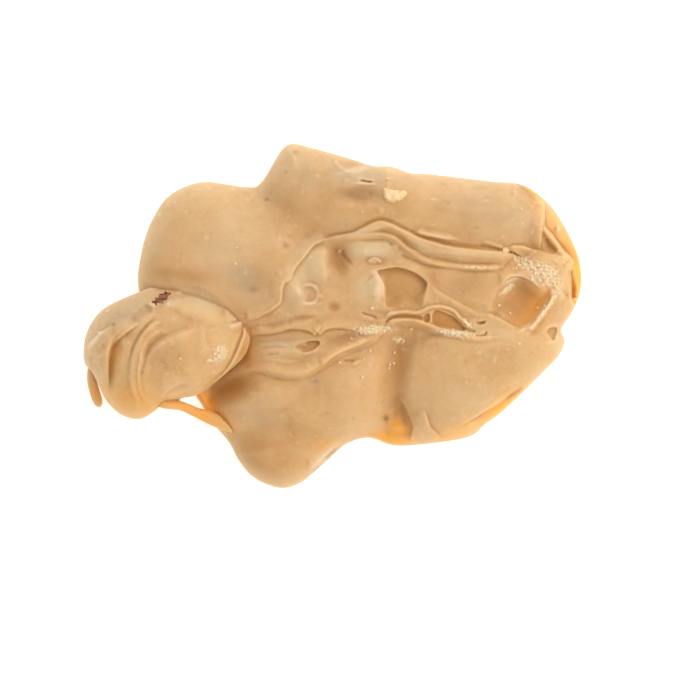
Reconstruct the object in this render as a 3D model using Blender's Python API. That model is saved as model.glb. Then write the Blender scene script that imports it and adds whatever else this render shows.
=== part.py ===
"""A pecan praline: one poured and folded lump of set candy, with a bare bit of pecan showing in a pocket.

The candy is a few soft lobes that run together, with folds, creases and pits pressed into their top.
Everything is designed in millimetres seen from above: +X along the praline, +Y across it, +Z up.
The origin is on the table, under the middle of the praline's bounding box.
"""

from collections import namedtuple

import bmesh
import bpy
import numpy as np
from mathutils import Matrix, Vector

MM = 0.001

# Driving dimensions, in millimetres
SLAB = 3.0                # thickness of the flat slabs that are lifted into shape
SLAB_GRID = 0.7           # grid of the slabs
FUSE_GRID = 0.5           # grid on which the parts of the candy are fused
CANDY_TRIANGLES = 10600   # triangles left in the fused candy
SOLE_SINK = 0.35          # how far the underside is modelled below the table, before the flat cut
TABLE_BLOCK = (160.0, 160.0, 10.0)  # the cutter that leaves a flat sole
POOL_TOP = 3.4            # height of the thin pool of candy round the lobes

RIM_MID = 0.36            # height of the widest line of a rim, as a share of the top above it
RIM_TOP = 0.42            # reach of the rounding above that line, as a share of the top
RIM_UNDER = 0.28          # reach of the rounding below it

NUT_LEAN = 6.0            # how much higher the coated nut's rim lies against the dome
NUT_LEAN_RUN = 22.0       # the width over which its rim rises by that
NUT_RIM_LIMIT = 0.86      # the most that its rim rises to, as a share of its top

LOBE_SQUARENESS = 1.4     # 1 is a plain dome, more has a flatter top and steeper flanks
FOLD_SHARPNESS = 1.4      # 1 is a rounded ridge, more is a narrower one
LIP_WIDTH = 0.8           # width of the raised lip round a pit
SWELL = 0.16              # height of the slow unevenness of the candy's top

PECAN_SIZE = (5.6, 3.1, 2.2)
PECAN_AT = (-34.0, 3.9)
PECAN_TURN = 33.0
PECAN_GAP = 0.3           # clearance between the pecan and its pocket
PECAN_SUNK = 0.45         # depth of the pecan's top below the candy round it

Lobe = namedtuple("Lobe", "centre half_size top fall turn blend", defaults=(0.0, 3.0))
Fold = namedtuple("Fold", "points lift left right ends", defaults=((0.2, 0.2),))
Pit = namedtuple("Pit", "points depth wall soft_side soft_wall lip", defaults=(0.0, 0.0, 0.0))

# The candy's outline, counter-clockwise from the left. The run under the coated nut is hidden.
BODY_OUTLINE = [
    (-38.4, 10.8), (-38.8, 7.2), (-38.0, 2.2), (-36.0, -3.8), (-32.8, -9.2), (-29.2, -13.2),
    (-26.2, -17.6), (-24.2, -21.0), (-20.6, -25.2), (-18.8, -28.6), (-16.4, -31.6), (-13.6, -33.4),
    (-9.8, -34.4), (-6.4, -33.4), (-4.0, -31.6), (-0.4, -28.4), (2.8, -25.6), (7.4, -24.3),
    (12.0, -25.8), (17.6, -25.7), (27.2, -24.2), (30.6, -21.6), (34.6, -18.6), (42.6, -10.8),
    (45.4, -7.8), (46.5, -5.0), (45.8, -2.6), (47.8, 0.4), (49.4, 4.0), (49.9, 7.6), (49.2, 12.0),
    (47.2, 16.6), (44.2, 21.4), (40.8, 24.6), (37.4, 26.4), (31.6, 26.9), (19.6, 28.3), (15.6, 28.5),
    (12.0, 29.8), (8.0, 30.0), (4.0, 31.3), (-4.8, 33.8), (-8.0, 34.4), (-10.2, 33.0), (-14.0, 26.8),
    (-16.8, 25.7), (-24.8, 26.8), (-29.2, 25.9), (-33.0, 23.6), (-35.6, 19.8), (-37.4, 15.4),
]

# The coated nut that overhangs the candy's lower left
NUT_OUTLINE = [
    (-49.6, -7.8), (-49.2, -4.0), (-47.4, -0.4), (-44.4, 2.2), (-37.4, 5.2), (-33.8, 6.4), (-30.8, 6.8),
    (-28.4, 6.2), (-25.6, 5.6), (-22.6, 3.8), (-20.0, 1.0), (-16.8, -3.2), (-16.6, -5.8), (-18.2, -8.8),
    (-23.6, -13.6), (-26.4, -15.6), (-29.8, -16.4), (-33.4, -17.2), (-35.4, -19.0), (-38.4, -20.6),
    (-42.0, -19.8), (-45.0, -17.0), (-46.8, -13.4), (-48.0, -11.0), (-49.2, -9.8),
]

BODY_LOBES = {
    "dome": Lobe((-20.8, 14.6), (20.0, 16.0), 13.4, 4.6, -20.0),
    "dome_left": Lobe((-27.4, 11.0), (14.0, 14.0), 12.0, 5.0),
    "peak": Lobe((-6.8, 26.0), (9.0, 11.0), 12.8, 5.0, 15.0),
    "roll": Lobe((16.6, 22.8), (28.0, 11.5), 16.2, 5.0, -4.0, 4.0),
    "roll_end": Lobe((32.0, 19.8), (10.0, 9.5), 14.8, 7.0, -6.0),
    "skirt": Lobe((41.6, 17.0), (8.0, 9.0), 6.4, 3.0, 0.0, 2.0),
    "middle": Lobe((2.6, 5.2), (23.0, 13.0), 12.4, 4.6, 0.0, 4.0),
    "band": Lobe((24.0, 5.6), (21.0, 11.0), 13.6, 4.6, -2.0, 4.0),
    "tip": Lobe((41.4, 7.6), (7.4, 7.0), 13.0, 7.5, 20.0, 2.0),
    "lower_right": Lobe((29.2, -11.2), (19.0, 13.5), 14.2, 5.0, 9.0, 2.5),
    "lower_middle": Lobe((-2.0, -12.4), (16.5, 12.0), 12.2, 5.0, 10.0),
    "lower_neck": Lobe((-14.0, -17.2), (8.5, 9.5), 10.2, 5.0, -20.0),
    "lower_left": Lobe((-10.4, -28.8), (11.0, 7.8), 9.8, 5.0, 10.0, 1.8),
}

# Folds are ridges, or creases where their lift is negative. Left and right say how far each side reaches.
BODY_FOLDS = {
    "dome_crease": Fold([(-14.0, 26.4), (-12.8, 23.4), (-9.6, 20.8), (-3.0, 15.2)],
                        -0.9, 1.6, 3.4, (0.05, 0.3)),
    "neck_crease": Fold([(-21.6, -26.2), (-17.4, -25.4), (-13.2, -24.4), (-5.6, -21.8)],
                        -1.3, 1.4, 3.4, (0.05, 0.4)),
    "hollow_by_nut": Fold([(-24.8, -13.8), (-22.0, -14.4), (-16.0, -15.2)], -2.2, 3.2, 3.2, (0.1, 0.4)),
    "tuck_by_nut": Fold([(-32.8, 6.2), (-25.8, 4.8), (-20.8, 1.0), (-17.6, -3.6)],
                        -2.8, 1.8, 5.0, (0.3, 0.2)),
    "lobe_valley": Fold([(17.2, -1.2), (16.2, -4.4), (14.0, -10.4), (13.0, -16.0), (13.6, -18.8),
                         (14.4, -26.0)],
                        -2.3, 3.2, 6.0, (0.25, 0.05)),
    "rope": Fold([(-4.0, 14.6), (3.6, 16.2), (9.8, 18.0), (15.6, 15.2), (24.6, 12.4), (36.6, 10.8),
                  (46.0, 10.4)],
                 1.5, 1.0, 3.2, (0.15, 0.1)),
    "rope_groove": Fold([(13.6, 18.0), (20.6, 14.8), (29.6, 13.2), (34.6, 12.8)],
                        -1.2, 0.9, 0.7, (0.2, 0.15)),
    "film_edge": Fold([(-3.0, 15.0), (-6.8, 11.0), (-9.0, 7.0), (-9.8, 4.4), (-12.4, 1.6), (-17.8, -0.8)],
                      0.8, 0.8, 1.0, (0.2, 0.1)),
    "tent": Fold([(-1.2, 14.0), (-1.0, 9.6), (-0.8, 5.2)], 0.8, 3.2, 1.6, (0.25, 0.35)),
    "tent_hollow": Fold([(0.2, 13.2), (2.0, 10.8), (2.4, 7.2)], -1.6, 2.4, 2.2, (0.2, 0.35)),
    "pale_lip": Fold([(6.0, 9.6), (8.2, 8.0), (9.6, 5.2), (9.6, 2.4)], 1.1, 1.0, 4.0, (0.2, 0.25)),
    "pit_thread": Fold([(10.2, -2.0), (12.8, 0.6), (16.6, 0.6), (20.6, 1.8), (23.8, 0.6), (26.8, -2.6),
                        (29.6, -3.8)], 0.8, 0.9, 0.8, (0.1, 0.15)),
    "upper_edge_left": Fold([(-17.2, -3.8), (-11.4, -2.8), (-5.6, -2.7), (-2.8, -4.4)],
                            0.9, 3.0, 0.7, (0.2, 0.08)),
    "upper_edge_mid": Fold([(-2.8, -4.4), (0.0, -2.6), (5.2, -2.8), (11.6, -2.4)],
                           0.9, 2.6, 0.7, (0.08, 0.2)),
    "upper_edge_right": Fold([(10.8, -2.8), (15.2, -1.1), (20.2, -2.4), (27.2, -4.1), (34.6, -4.0)],
                             0.9, 1.0, 1.6, (0.1, 0.3)),
    "basin": Fold([(-15.2, -5.6), (-3.4, -5.4), (8.0, -3.2)], -0.9, 2.0, 2.4, (0.3, 0.25)),
    "long_ridge": Fold([(-18.4, -12.0), (-13.2, -10.4), (-6.4, -9.8), (-0.4, -7.0), (5.6, -5.0),
                        (11.2, -2.4)],
                       1.1, 2.2, 2.0, (0.2, 0.1)),
    "flap_edge": Fold([(13.2, -14.4), (14.8, -18.4), (15.8, -22.2), (14.6, -26.0)],
                      2.0, 2.8, 0.7, (0.25, 0.05)),
    "rim_crease": Fold([(31.2, -18.0), (36.0, -15.4), (38.4, -13.8)], -1.3, 0.9, 1.0, (0.4, 0.25)),
    "crater_rim": Fold([(47.8, 10.6), (45.6, 6.4), (43.4, 2.2), (39.0, -2.4)],
                       1.0, 0.7, 1.1, (0.05, 0.12)),
    "tip_edge": Fold([(34.4, 13.6), (40.0, 12.8), (47.4, 11.0)], 0.9, 0.7, 2.2, (0.15, 0.05)),
    "roll_end_edge": Fold([(35.8, 26.6), (39.2, 23.6), (41.9, 22.4), (41.6, 18.0), (41.6, 12.6)],
                          1.6, 0.7, 2.4, (0.12, 0.15)),
    "skirt_fold": Fold([(41.8, 18.0), (45.6, 13.2), (47.6, 10.8)], 1.0, 0.7, 1.4, (0.1, 0.1)),
    "top_lip": Fold([(2.4, 27.6), (7.6, 28.8), (11.6, 28.0)], 0.6, 1.2, 1.8, (0.3, 0.4)),
}

BODY_PITS = {
    "first": Pit([(9.0, 9.0), (13.4, 9.7), (17.6, 7.8), (18.8, 6.0), (17.4, 1.6), (14.0, 1.0),
                  (10.8, 1.6), (10.6, 5.6)],
                 1.9, 0.7, -80.0, 2.2, 0.3),
    "second": Pit([(19.8, -0.4), (20.4, 1.0), (23.2, 0.6), (26.8, -3.2), (22.2, -2.6)],
                  1.9, 0.7, -80.0, 1.0),
    "basin_dent": Pit([(-7.0, -6.4), (-4.4, -4.8), (-2.4, -5.2), (-4.8, -7.0)],
                      1.0, 0.8, 180.0, 1.2, 0.2),
    "crater": Pit([(33.6, 4.8), (36.0, 7.0), (39.4, 6.6), (41.8, 5.2), (43.8, 4.0), (41.6, 0.2),
                   (38.4, -2.3), (34.6, -0.6), (32.8, 2.4)],
                  2.8, 0.9, 170.0, 4.0, 0.4),
}

NUT_LOBE = Lobe((-34.4, -6.8), (16.5, 12.5), 17.4, 6.0, 12.0)
NUT_FOLDS = {
    "outer_layer": Fold([(-48.0, -9.2), (-45.6, -5.4), (-42.0, -3.0), (-38.0, -1.0)],
                        1.1, 1.4, 1.0, (0.2, 0.3)),
    "deep_groove": Fold([(-39.8, -3.0), (-43.0, -8.2), (-43.8, -10.8), (-44.0, -14.0)],
                        -2.1, 1.1, 2.4, (0.2, 0.3)),
    "groove": Fold([(-33.6, 1.4), (-38.0, -2.4), (-39.8, -7.2), (-40.4, -9.6)],
                   -0.9, 0.8, 0.8, (0.15, 0.3)),
    "thin_ridge": Fold([(-38.2, -4.6), (-40.0, -10.8), (-40.0, -13.6), (-37.6, -18.0)], 0.7, 0.8, 0.9),
    "inner_edge": Fold([(-36.4, -8.2), (-33.2, -4.8), (-28.8, -3.2), (-26.8, -2.0)],
                       1.2, 0.8, 3.4, (0.25, 0.3)),
    "shallow_valley": Fold([(-33.6, -1.2), (-27.0, -1.2), (-24.2, -5.6)], -0.9, 2.0, 2.4, (0.3, 0.3)),
    "crest": Fold([(-38.0, -2.4), (-33.2, 2.0), (-26.8, 2.6), (-20.8, -2.0)], 0.6, 1.8, 1.6, (0.3, 0.2)),
    "bottom_crease": Fold([(-34.0, -16.6), (-30.4, -14.3), (-28.0, -13.6)], 1.0, 1.4, 0.7, (0.08, 0.4)),
    "under_layer": Fold([(-17.8, -1.0), (-18.4, -4.4), (-20.6, -8.6), (-25.2, -13.2), (-28.8, -14.6)],
                        -0.9, 0.8, 0.7, (0.05, 0.2)),
}

# Threads of candy: (x, y, z, radius) along each
STRAND = [
    (-34.6, -16.6, 6.6, 1.5),
    (-29.8, -18.2, 5.2, 1.25),
    (-24.6, -20.2, 4.9, 1.3),
    (-19.4, -22.6, 6.4, 1.1),
]
DRIP = [(-46.6, -9.8, 4.2, 1.2), (-47.6, -13.6, 2.6, 1.15), (-47.3, -16.6, 1.5, 0.95)]

# Flakes and clots of sugar that lie on the candy: (x, y, half length, half width, turn)
SUGAR_FLAKES = [
    (12.8, 23.9, 1.9, 1.0, -12.0),
    (-22.2, -7.4, 1.5, 1.0, 60.0),
    (8.2, -2.6, 2.7, 0.8, 2.0),
    (24.6, -3.4, 2.6, 0.6, -6.0),
    (40.4, 8.6, 2.4, 1.2, -25.0),
]
FLAKE_HEIGHT = 0.7        # how far a flake stands proud

CANDY_COLOUR = (0.62, 0.36, 0.17, 1.0)
PECAN_COLOUR = (0.20, 0.065, 0.03, 1.0)


def clear_scene():
    for item in list(bpy.data.objects):
        bpy.data.objects.remove(item, do_unlink=True)


def principled(name, colour, roughness):
    material = bpy.data.materials.new(name)
    material.use_nodes = True
    shader = material.node_tree.nodes["Principled BSDF"]
    shader.inputs["Base Color"].default_value = colour
    shader.inputs["Roughness"].default_value = roughness
    shader.inputs["Metallic"].default_value = 0.0
    material.diffuse_color = colour
    return material


def smooth_path(points, closed=False, steps=6):
    """A smooth line through the points (a Catmull-Rom curve)."""
    points = np.asarray(points, float)
    if closed:
        points = np.vstack([points[-1:], points, points[:2]])
    else:
        points = np.vstack([points[:1], points, points[-1:]])
    line = []
    for before, start, end, after in zip(points, points[1:], points[2:], points[3:]):
        for t in np.arange(steps) / steps:
            line.append(0.5 * (2 * start + (end - before) * t
                               + (2 * before - 5 * start + 4 * end - after) * t * t
                               + (3 * start - before - 3 * end + after) * t ** 3))
    line.append(points[-2])
    return np.array(line)


def nearest_on(path, x, y):
    """Distance from each point to the path, positive on its left, and the share of the path passed there."""
    starts = path[:-1]
    runs = path[1:] - path[:-1]
    lengths = np.maximum(np.hypot(runs[:, 0], runs[:, 1]), 1e-9)
    before = np.concatenate([[0.0], np.cumsum(lengths)])
    best = np.full(x.shape, 1e9)
    side = np.ones(x.shape)
    share = np.zeros(x.shape)
    for (x0, y0), (dx, dy), length, done in zip(starts, runs, lengths, before):
        along = np.clip(((x - x0) * dx + (y - y0) * dy) / length ** 2, 0.0, 1.0)
        square = (x - x0 - along * dx) ** 2 + (y - y0 - along * dy) ** 2
        closer = square < best
        best = np.where(closer, square, best)
        side = np.where(closer, np.where(dx * (y - y0) >= dy * (x - x0), 1.0, -1.0), side)
        share = np.where(closer, (done + along * length) / before[-1], share)
    return np.sqrt(best) * side, share


def ease(t):
    t = np.clip(t, 0.0, 1.0)
    return t * t * (3.0 - 2.0 * t)


def soft_max(a, b, blend):
    """The larger of two heights, with a fillet of about the given size where they cross."""
    near = np.maximum(blend - np.abs(a - b), 0.0) / blend
    return np.maximum(a, b) + near * near * blend / 4


def lobe_top(lobe, x, y):
    turn = np.radians(lobe.turn)
    dx = x - lobe.centre[0]
    dy = y - lobe.centre[1]
    along = (np.cos(turn) * dx + np.sin(turn) * dy) / lobe.half_size[0]
    across = (np.cos(turn) * dy - np.sin(turn) * dx) / lobe.half_size[1]
    return lobe.top - lobe.fall * (along ** 2 + across ** 2) ** LOBE_SQUARENESS


def add_fold(height, fold, x, y):
    distance, share = nearest_on(smooth_path(fold.points), x, y)
    across = np.where(distance >= 0.0, distance / fold.left, -distance / fold.right)
    shape = np.clip(1.0 - across ** 2, 0.0, 1.0) ** FOLD_SHARPNESS
    taper = np.minimum(ease(share / fold.ends[0]), ease((1.0 - share) / fold.ends[1]))
    return height + fold.lift * shape * taper


def add_pit(height, pit, x, y):
    """Sinks a closed area. Its wall is wider, and so softer, towards one side, given as a direction."""
    edge = smooth_path(pit.points, closed=True, steps=4)
    distance, _ = nearest_on(edge, x, y)
    inward = np.where(lies_inside(edge, x, y), np.abs(distance), -np.abs(distance))
    middle = edge.mean(axis=0)
    dx = x - middle[0]
    dy = y - middle[1]
    turn = np.radians(pit.soft_side)
    towards = np.clip((dx * np.cos(turn) + dy * np.sin(turn)) / (np.hypot(dx, dy) + 1e-6), 0.0, 1.0) ** 2
    wall = pit.wall + pit.soft_wall * towards
    lip = pit.lip * np.exp(-(inward / LIP_WIDTH + 0.4) ** 2)
    return height + lip - pit.depth * ease(inward / wall + 0.2)


def lies_inside(edge, x, y):
    """Whether each point is inside: a line to its right then crosses the edge an odd number of times."""
    inside = np.zeros(x.shape, bool)
    for (x0, y0), (x1, y1) in zip(edge, edge[1:]):
        spans = (y0 > y) != (y1 > y)
        inside ^= spans & (x < x0 + (y - y0) * (x1 - x0) / (y1 - y0 if y1 != y0 else 1.0))
    return inside


def swell(x, y):
    """The slow unevenness of candy that set while it flowed."""
    broad = np.sin(0.31 * x + 0.18 * y + 0.8) * np.cos(0.29 * y - 0.17 * x)
    short = np.sin(0.61 * x - 0.42 * y) * np.cos(0.53 * y + 0.26 * x + 1.1)
    return SWELL * (broad + 0.6 * short)


def body_height(x, y):
    height = np.full(x.shape, POOL_TOP)
    for lobe in BODY_LOBES.values():
        height = soft_max(height, lobe_top(lobe, x, y), lobe.blend)
    for fold in BODY_FOLDS.values():
        height = add_fold(height, fold, x, y)
    for pit in BODY_PITS.values():
        height = add_pit(height, pit, x, y)
    height = height + swell(x, y)
    return height, RIM_MID * height


def nut_height(x, y):
    """The nut leans on the dome, so its rim rises from the table's side to the dome's side."""
    height = lobe_top(NUT_LOBE, x, y)
    for fold in NUT_FOLDS.values():
        height = add_fold(height, fold, x, y)
    uphill = ease(0.5 + (0.6 * (x - NUT_LOBE.centre[0]) + 0.8 * (y - NUT_LOBE.centre[1])) / NUT_LEAN_RUN)
    return height, np.minimum(RIM_MID * height + NUT_LEAN * uphill, NUT_RIM_LIMIT * height)


def flat_slab(name, outline):
    """The outline as a flat slab, remeshed to an even grid."""
    curve = bpy.data.curves.new(name, "CURVE")
    curve.dimensions = "2D"
    curve.fill_mode = "BOTH"
    curve.extrude = 0.5 * SLAB * MM
    path = smooth_path(outline, closed=True)[:-1] * MM
    line = curve.splines.new("POLY")
    line.points.add(len(path) - 1)
    for point, (x, y) in zip(line.points, path):
        point.co = (x, y, 0.0, 1.0)
    line.use_cyclic_u = True
    slab = bpy.data.objects.new(name, curve)
    bpy.context.collection.objects.link(slab)
    slab = plain_mesh(slab)
    remesh = slab.modifiers.new("grid", "REMESH")
    remesh.mode = "VOXEL"
    remesh.voxel_size = SLAB_GRID * MM
    return plain_mesh(slab)


def plain_mesh(item):
    """Turns an object, as its modifiers leave it, into a new object with a plain mesh."""
    graph = bpy.context.evaluated_depsgraph_get()
    graph.update()
    mesh = bpy.data.meshes.new_from_object(item.evaluated_get(graph))
    mesh.transform(item.matrix_world)
    name = item.name
    bpy.data.objects.remove(item, do_unlink=True)
    mesh.name = name
    result = bpy.data.objects.new(name, mesh)
    bpy.context.collection.objects.link(result)
    return result


def read_points(mesh):
    points = np.empty(len(mesh.vertices) * 3)
    mesh.vertices.foreach_get("co", points)
    return points.reshape(-1, 3) / MM


def write_points(mesh, points):
    mesh.vertices.foreach_set("co", (points * MM).ravel())
    mesh.update()


def lift_slab(slab, outline, height_of, sole):
    """Lifts a slab's upper face to the height function and rounds its rim over and under."""
    points = read_points(slab.data)
    x, y, level = points.T
    edge = smooth_path(outline, closed=True)
    inward = np.abs(nearest_on(edge, x, y)[0])
    top, middle = height_of(x, y)
    over = np.clip(inward / np.maximum(RIM_TOP * top, 0.6), 0.0, 1.0)
    under = np.clip(inward / np.maximum(RIM_UNDER * top, 0.5), 0.0, 1.0)
    upper = middle + (top - middle) * np.sqrt(1.0 - (1.0 - over) ** 2)
    lower = sole + (middle - sole) * (1.0 - np.sqrt(1.0 - (1.0 - under) ** 2))
    points[:, 2] = lower + (upper - lower) * (level / SLAB + 0.5)
    write_points(slab.data, points)


def thread(name, stations):
    """A thread of candy with a round section that thins towards its end."""
    curve = bpy.data.curves.new(name, "CURVE")
    curve.dimensions = "3D"
    curve.bevel_depth = MM
    curve.bevel_resolution = 3
    curve.use_fill_caps = True
    path = smooth_path(stations)
    line = curve.splines.new("POLY")
    line.points.add(len(path) - 1)
    for point, (x, y, z, radius) in zip(line.points, path):
        point.co = (x * MM, y * MM, z * MM, 1.0)
        point.radius = radius
    item = bpy.data.objects.new(name, curve)
    bpy.context.collection.objects.link(item)
    return plain_mesh(item)


def sugar_flake(x, y, half_length, half_width, turn):
    """A low clot of sugar, bedded in the candy's top."""
    at = (np.array([x]), np.array([y]))
    over_nut = lies_inside(smooth_path(NUT_OUTLINE, closed=True), *at)[0]
    top, _ = nut_height(*at) if over_nut else body_height(*at)
    place = Matrix.Translation(Vector((x, y, top[0])) * MM) @ Matrix.Rotation(np.radians(turn), 4, "Z")
    return ellipsoid("flake", (2.0 * half_length, 2.0 * half_width, 2.0 * FLAKE_HEIGHT), place, level=2)


def ellipsoid(name, size, place, level=3):
    """An ellipsoid with the given full sizes, in millimetres."""
    mesh = bpy.data.meshes.new(name)
    shape = bmesh.new()
    bmesh.ops.create_icosphere(shape, subdivisions=level, radius=0.5 * MM)
    bmesh.ops.transform(shape, matrix=place @ Matrix.Diagonal((*size, 1.0)), verts=shape.verts)
    shape.to_mesh(mesh)
    shape.free()
    item = bpy.data.objects.new(name, mesh)
    bpy.context.collection.objects.link(item)
    return item


def join(name, items):
    """One object with the meshes of all items, which are removed."""
    mesh = bpy.data.meshes.new(name)
    shape = bmesh.new()
    for item in items:
        shape.from_mesh(item.data)
        bpy.data.objects.remove(item, do_unlink=True)
    shape.to_mesh(mesh)
    shape.free()
    joined = bpy.data.objects.new(name, mesh)
    bpy.context.collection.objects.link(joined)
    return joined


def boolean_cut(item, cutter, name):
    cut = item.modifiers.new(name, "BOOLEAN")
    cut.operation = "DIFFERENCE"
    cut.solver = "EXACT"
    cut.object = cutter
    cutter.hide_render = True
    cutter.display_type = "WIRE"


def table_block():
    """Everything under the table, as a cutter that leaves the candy a flat sole."""
    mesh = bpy.data.meshes.new("table_block")
    shape = bmesh.new()
    bmesh.ops.create_cube(shape, size=1.0)
    size = Matrix.Diagonal((*TABLE_BLOCK, 1.0)) * MM
    size[3][3] = 1.0
    sunk = Matrix.Translation((0.0, 0.0, -0.5 * TABLE_BLOCK[2] * MM))
    bmesh.ops.transform(shape, matrix=sunk @ size, verts=shape.verts)
    shape.to_mesh(mesh)
    shape.free()
    block = bpy.data.objects.new("table_block", mesh)
    bpy.context.collection.objects.link(block)
    return block


def fused_candy():
    """Body, coated nut, threads and sugar as one closed mesh with a flat sole."""
    body = flat_slab("body", BODY_OUTLINE)
    lift_slab(body, BODY_OUTLINE, body_height, -SOLE_SINK)
    nut = flat_slab("nut", NUT_OUTLINE)
    lift_slab(nut, NUT_OUTLINE, nut_height, -SOLE_SINK)
    threads = [thread("strand", STRAND), thread("drip", DRIP)]
    flakes = [sugar_flake(*flake) for flake in SUGAR_FLAKES]
    candy = join("candy", [body, nut, *threads, *flakes])
    fuse = candy.modifiers.new("fuse", "REMESH")
    fuse.mode = "VOXEL"
    fuse.voxel_size = FUSE_GRID * MM
    candy = plain_mesh(candy)
    thin = candy.modifiers.new("thin", "DECIMATE")
    thin.ratio = CANDY_TRIANGLES / (2.0 * len(candy.data.polygons))
    return plain_mesh(candy)


def centre_on_table(item):
    """Moves the mesh so that its box stands centred on the origin, and returns the shift used."""
    points = read_points(item.data)
    shift = -0.5 * (points.min(axis=0) + points.max(axis=0))
    shift[2] = -points[:, 2].min()
    write_points(item.data, points + shift)
    return shift


def pecan_place(candy, shift):
    """Where the pecan lies: sunk in the nut's top, in line with the surface round it."""
    x = PECAN_AT[0] + shift[0]
    y = PECAN_AT[1] + shift[1]
    hit, point, normal, _ = candy.ray_cast(Vector((x, y, 40.0)) * MM, Vector((0.0, 0.0, -1.0)))
    if not hit:
        raise RuntimeError("the pecan has no candy under it")
    tilt = Vector((0.0, 0.0, 1.0)).rotation_difference(normal).to_matrix().to_4x4()
    centre = point - normal * (0.5 * PECAN_SIZE[2] + PECAN_SUNK) * MM
    return Matrix.Translation(centre) @ tilt @ Matrix.Rotation(np.radians(PECAN_TURN), 4, "Z")


def wrinkled_pecan(place):
    """The bare bit of pecan: a flattened oval with the nut's lengthwise wrinkles."""
    pecan = ellipsoid("pecan", PECAN_SIZE, Matrix.Identity(4), level=4)
    points = read_points(pecan.data)
    along = points[:, 0] / (0.5 * PECAN_SIZE[0])
    across = points[:, 1] / (0.5 * PECAN_SIZE[1])
    lengthwise = np.sin(9.0 * across + 1.8 * np.sin(2.6 * along))
    wrinkle = 0.09 * lengthwise + 0.05 * np.sin(7.0 * along + 3.0 * across)
    points[:, 2] *= 1.0 - 0.5 * np.abs(wrinkle) + 0.5 * wrinkle
    write_points(pecan.data, points)
    pecan.data.transform(place)
    return pecan


def build():
    clear_scene()
    candy = fused_candy()
    table = table_block()
    boolean_cut(candy, table, "flat sole")
    candy = plain_mesh(candy)
    bpy.data.objects.remove(table, do_unlink=True)
    shift = centre_on_table(candy)
    bpy.context.evaluated_depsgraph_get().update()
    place = pecan_place(candy, shift)
    pocket_size = [side + 2.0 * PECAN_GAP for side in PECAN_SIZE]
    pocket_size[2] += 2.0 * PECAN_SUNK
    raised = place @ Matrix.Translation((0.0, 0.0, PECAN_SUNK * MM))
    pocket = ellipsoid("pecan_pocket", pocket_size, raised)
    boolean_cut(candy, pocket, "pecan pocket")
    pecan = wrinkled_pecan(place)
    candy.data.materials.append(principled("set candy", CANDY_COLOUR, 0.5))
    pecan.data.materials.append(principled("pecan skin", PECAN_COLOUR, 0.55))
    for item in (candy, pecan):
        item.data.shade_smooth()


build()
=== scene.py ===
"""The looks of a pecan praline: set candy with its fine folds, the bare pecan, sugar flakes and crumbs.

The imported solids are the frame. The candy here repeats their form on a finer grid, with the thin folds,
films, pores and rough sugar that the solids leave out. The tables are in millimetres, seen from above.
"""

from collections import namedtuple

import bmesh
import bpy
import numpy as np
from bpy.props import FloatProperty, FloatVectorProperty, IntProperty, PointerProperty
from bpy.types import Operator, Panel, PropertyGroup
from mathutils import Matrix, Vector
from mathutils.bvhtree import BVHTree


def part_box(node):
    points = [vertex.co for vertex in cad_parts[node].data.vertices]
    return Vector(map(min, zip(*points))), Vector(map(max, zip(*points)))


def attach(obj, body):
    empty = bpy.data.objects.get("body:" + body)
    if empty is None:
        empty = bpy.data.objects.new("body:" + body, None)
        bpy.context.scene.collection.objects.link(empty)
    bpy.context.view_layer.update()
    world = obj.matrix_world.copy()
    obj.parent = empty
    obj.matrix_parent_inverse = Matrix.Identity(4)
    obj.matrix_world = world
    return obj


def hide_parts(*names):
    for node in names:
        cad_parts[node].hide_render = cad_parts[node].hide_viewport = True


bl_info = {
    "name": "Pecan praline",
    "version": (1, 0, 0),
    "blender": (4, 5, 0),
    "location": "3D View > Sidebar > Praline",
    "description": "Builds a pecan praline and a plain stage round the packed solids",
    "category": "Add Mesh",
}

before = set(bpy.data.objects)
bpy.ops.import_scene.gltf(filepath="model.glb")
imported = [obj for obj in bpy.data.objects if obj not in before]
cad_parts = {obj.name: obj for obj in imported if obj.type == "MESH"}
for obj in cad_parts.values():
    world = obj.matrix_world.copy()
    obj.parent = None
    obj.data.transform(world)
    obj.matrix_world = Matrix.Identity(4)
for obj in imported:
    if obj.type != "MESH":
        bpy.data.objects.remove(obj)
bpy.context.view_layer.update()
MM = 0.001

# --- The candy's form -------------------------------------------------------------------------------------

SLAB = 3.0                # thickness of the flat slabs that are lifted into shape
SOLE_SINK = 0.35          # how far the underside starts below the table, before it is pressed flat
POOL_TOP = 3.4            # height of the thin pool of candy round the lobes
RIM_MID = 0.36            # height of the widest line of a rim, as a share of the top above it
RIM_TOP = 0.42            # reach of the rounding above that line, as a share of the top
RIM_UNDER = 0.28          # reach of the rounding below it
NUT_LEAN = 6.0            # how much higher the coated nut's rim lies against the dome
NUT_LEAN_RUN = 22.0       # the width over which its rim rises by that
NUT_RIM_LIMIT = 0.86      # the most that its rim rises to, as a share of its top
LOBE_SQUARENESS = 1.4     # 1 is a plain dome, more has a flatter top and steeper flanks
FOLD_END = 0.3            # how much of its width a fold keeps at its ends
LIP_WIDTH = 0.8           # width of the raised lip round a pit
LIP_OUT = 0.4             # how far outside the edge its crest lies, in lip widths
WALL_START = 0.2          # how much of a pit's wall lies outside its edge
SWELL = 0.11              # height of the slow unevenness of the candy's top
SWELL_WAVES = 36          # how many waves it is made of
SWELL_LENGTHS = (4.0, 16.0)     # the shortest and the longest
NUT_SWELL = 0.7           # its share on the coated nut
NUT_SWELL_OFFSET = 7.0    # how far its waves are moved there
DENT_EDGE = 1.4           # how crisp the edge of a dent is
DENT_REACH = 1.7          # how far a dent reaches, in half sizes
SPOT_EDGE = 1.5           # how crisp the edge of a spot of sugar, frost or dark candy is
SNAP = 0.45               # how far the grown-together mesh may lie off the height it should have
FACING_UP = 0.3           # how far a surface must look up to be put back
CRUST = 0.14              # height of the grain where sugar grew
CRUST_GRAIN = (0.4, 0.3)  # the grain's mean and its spread, as shares of that
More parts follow.
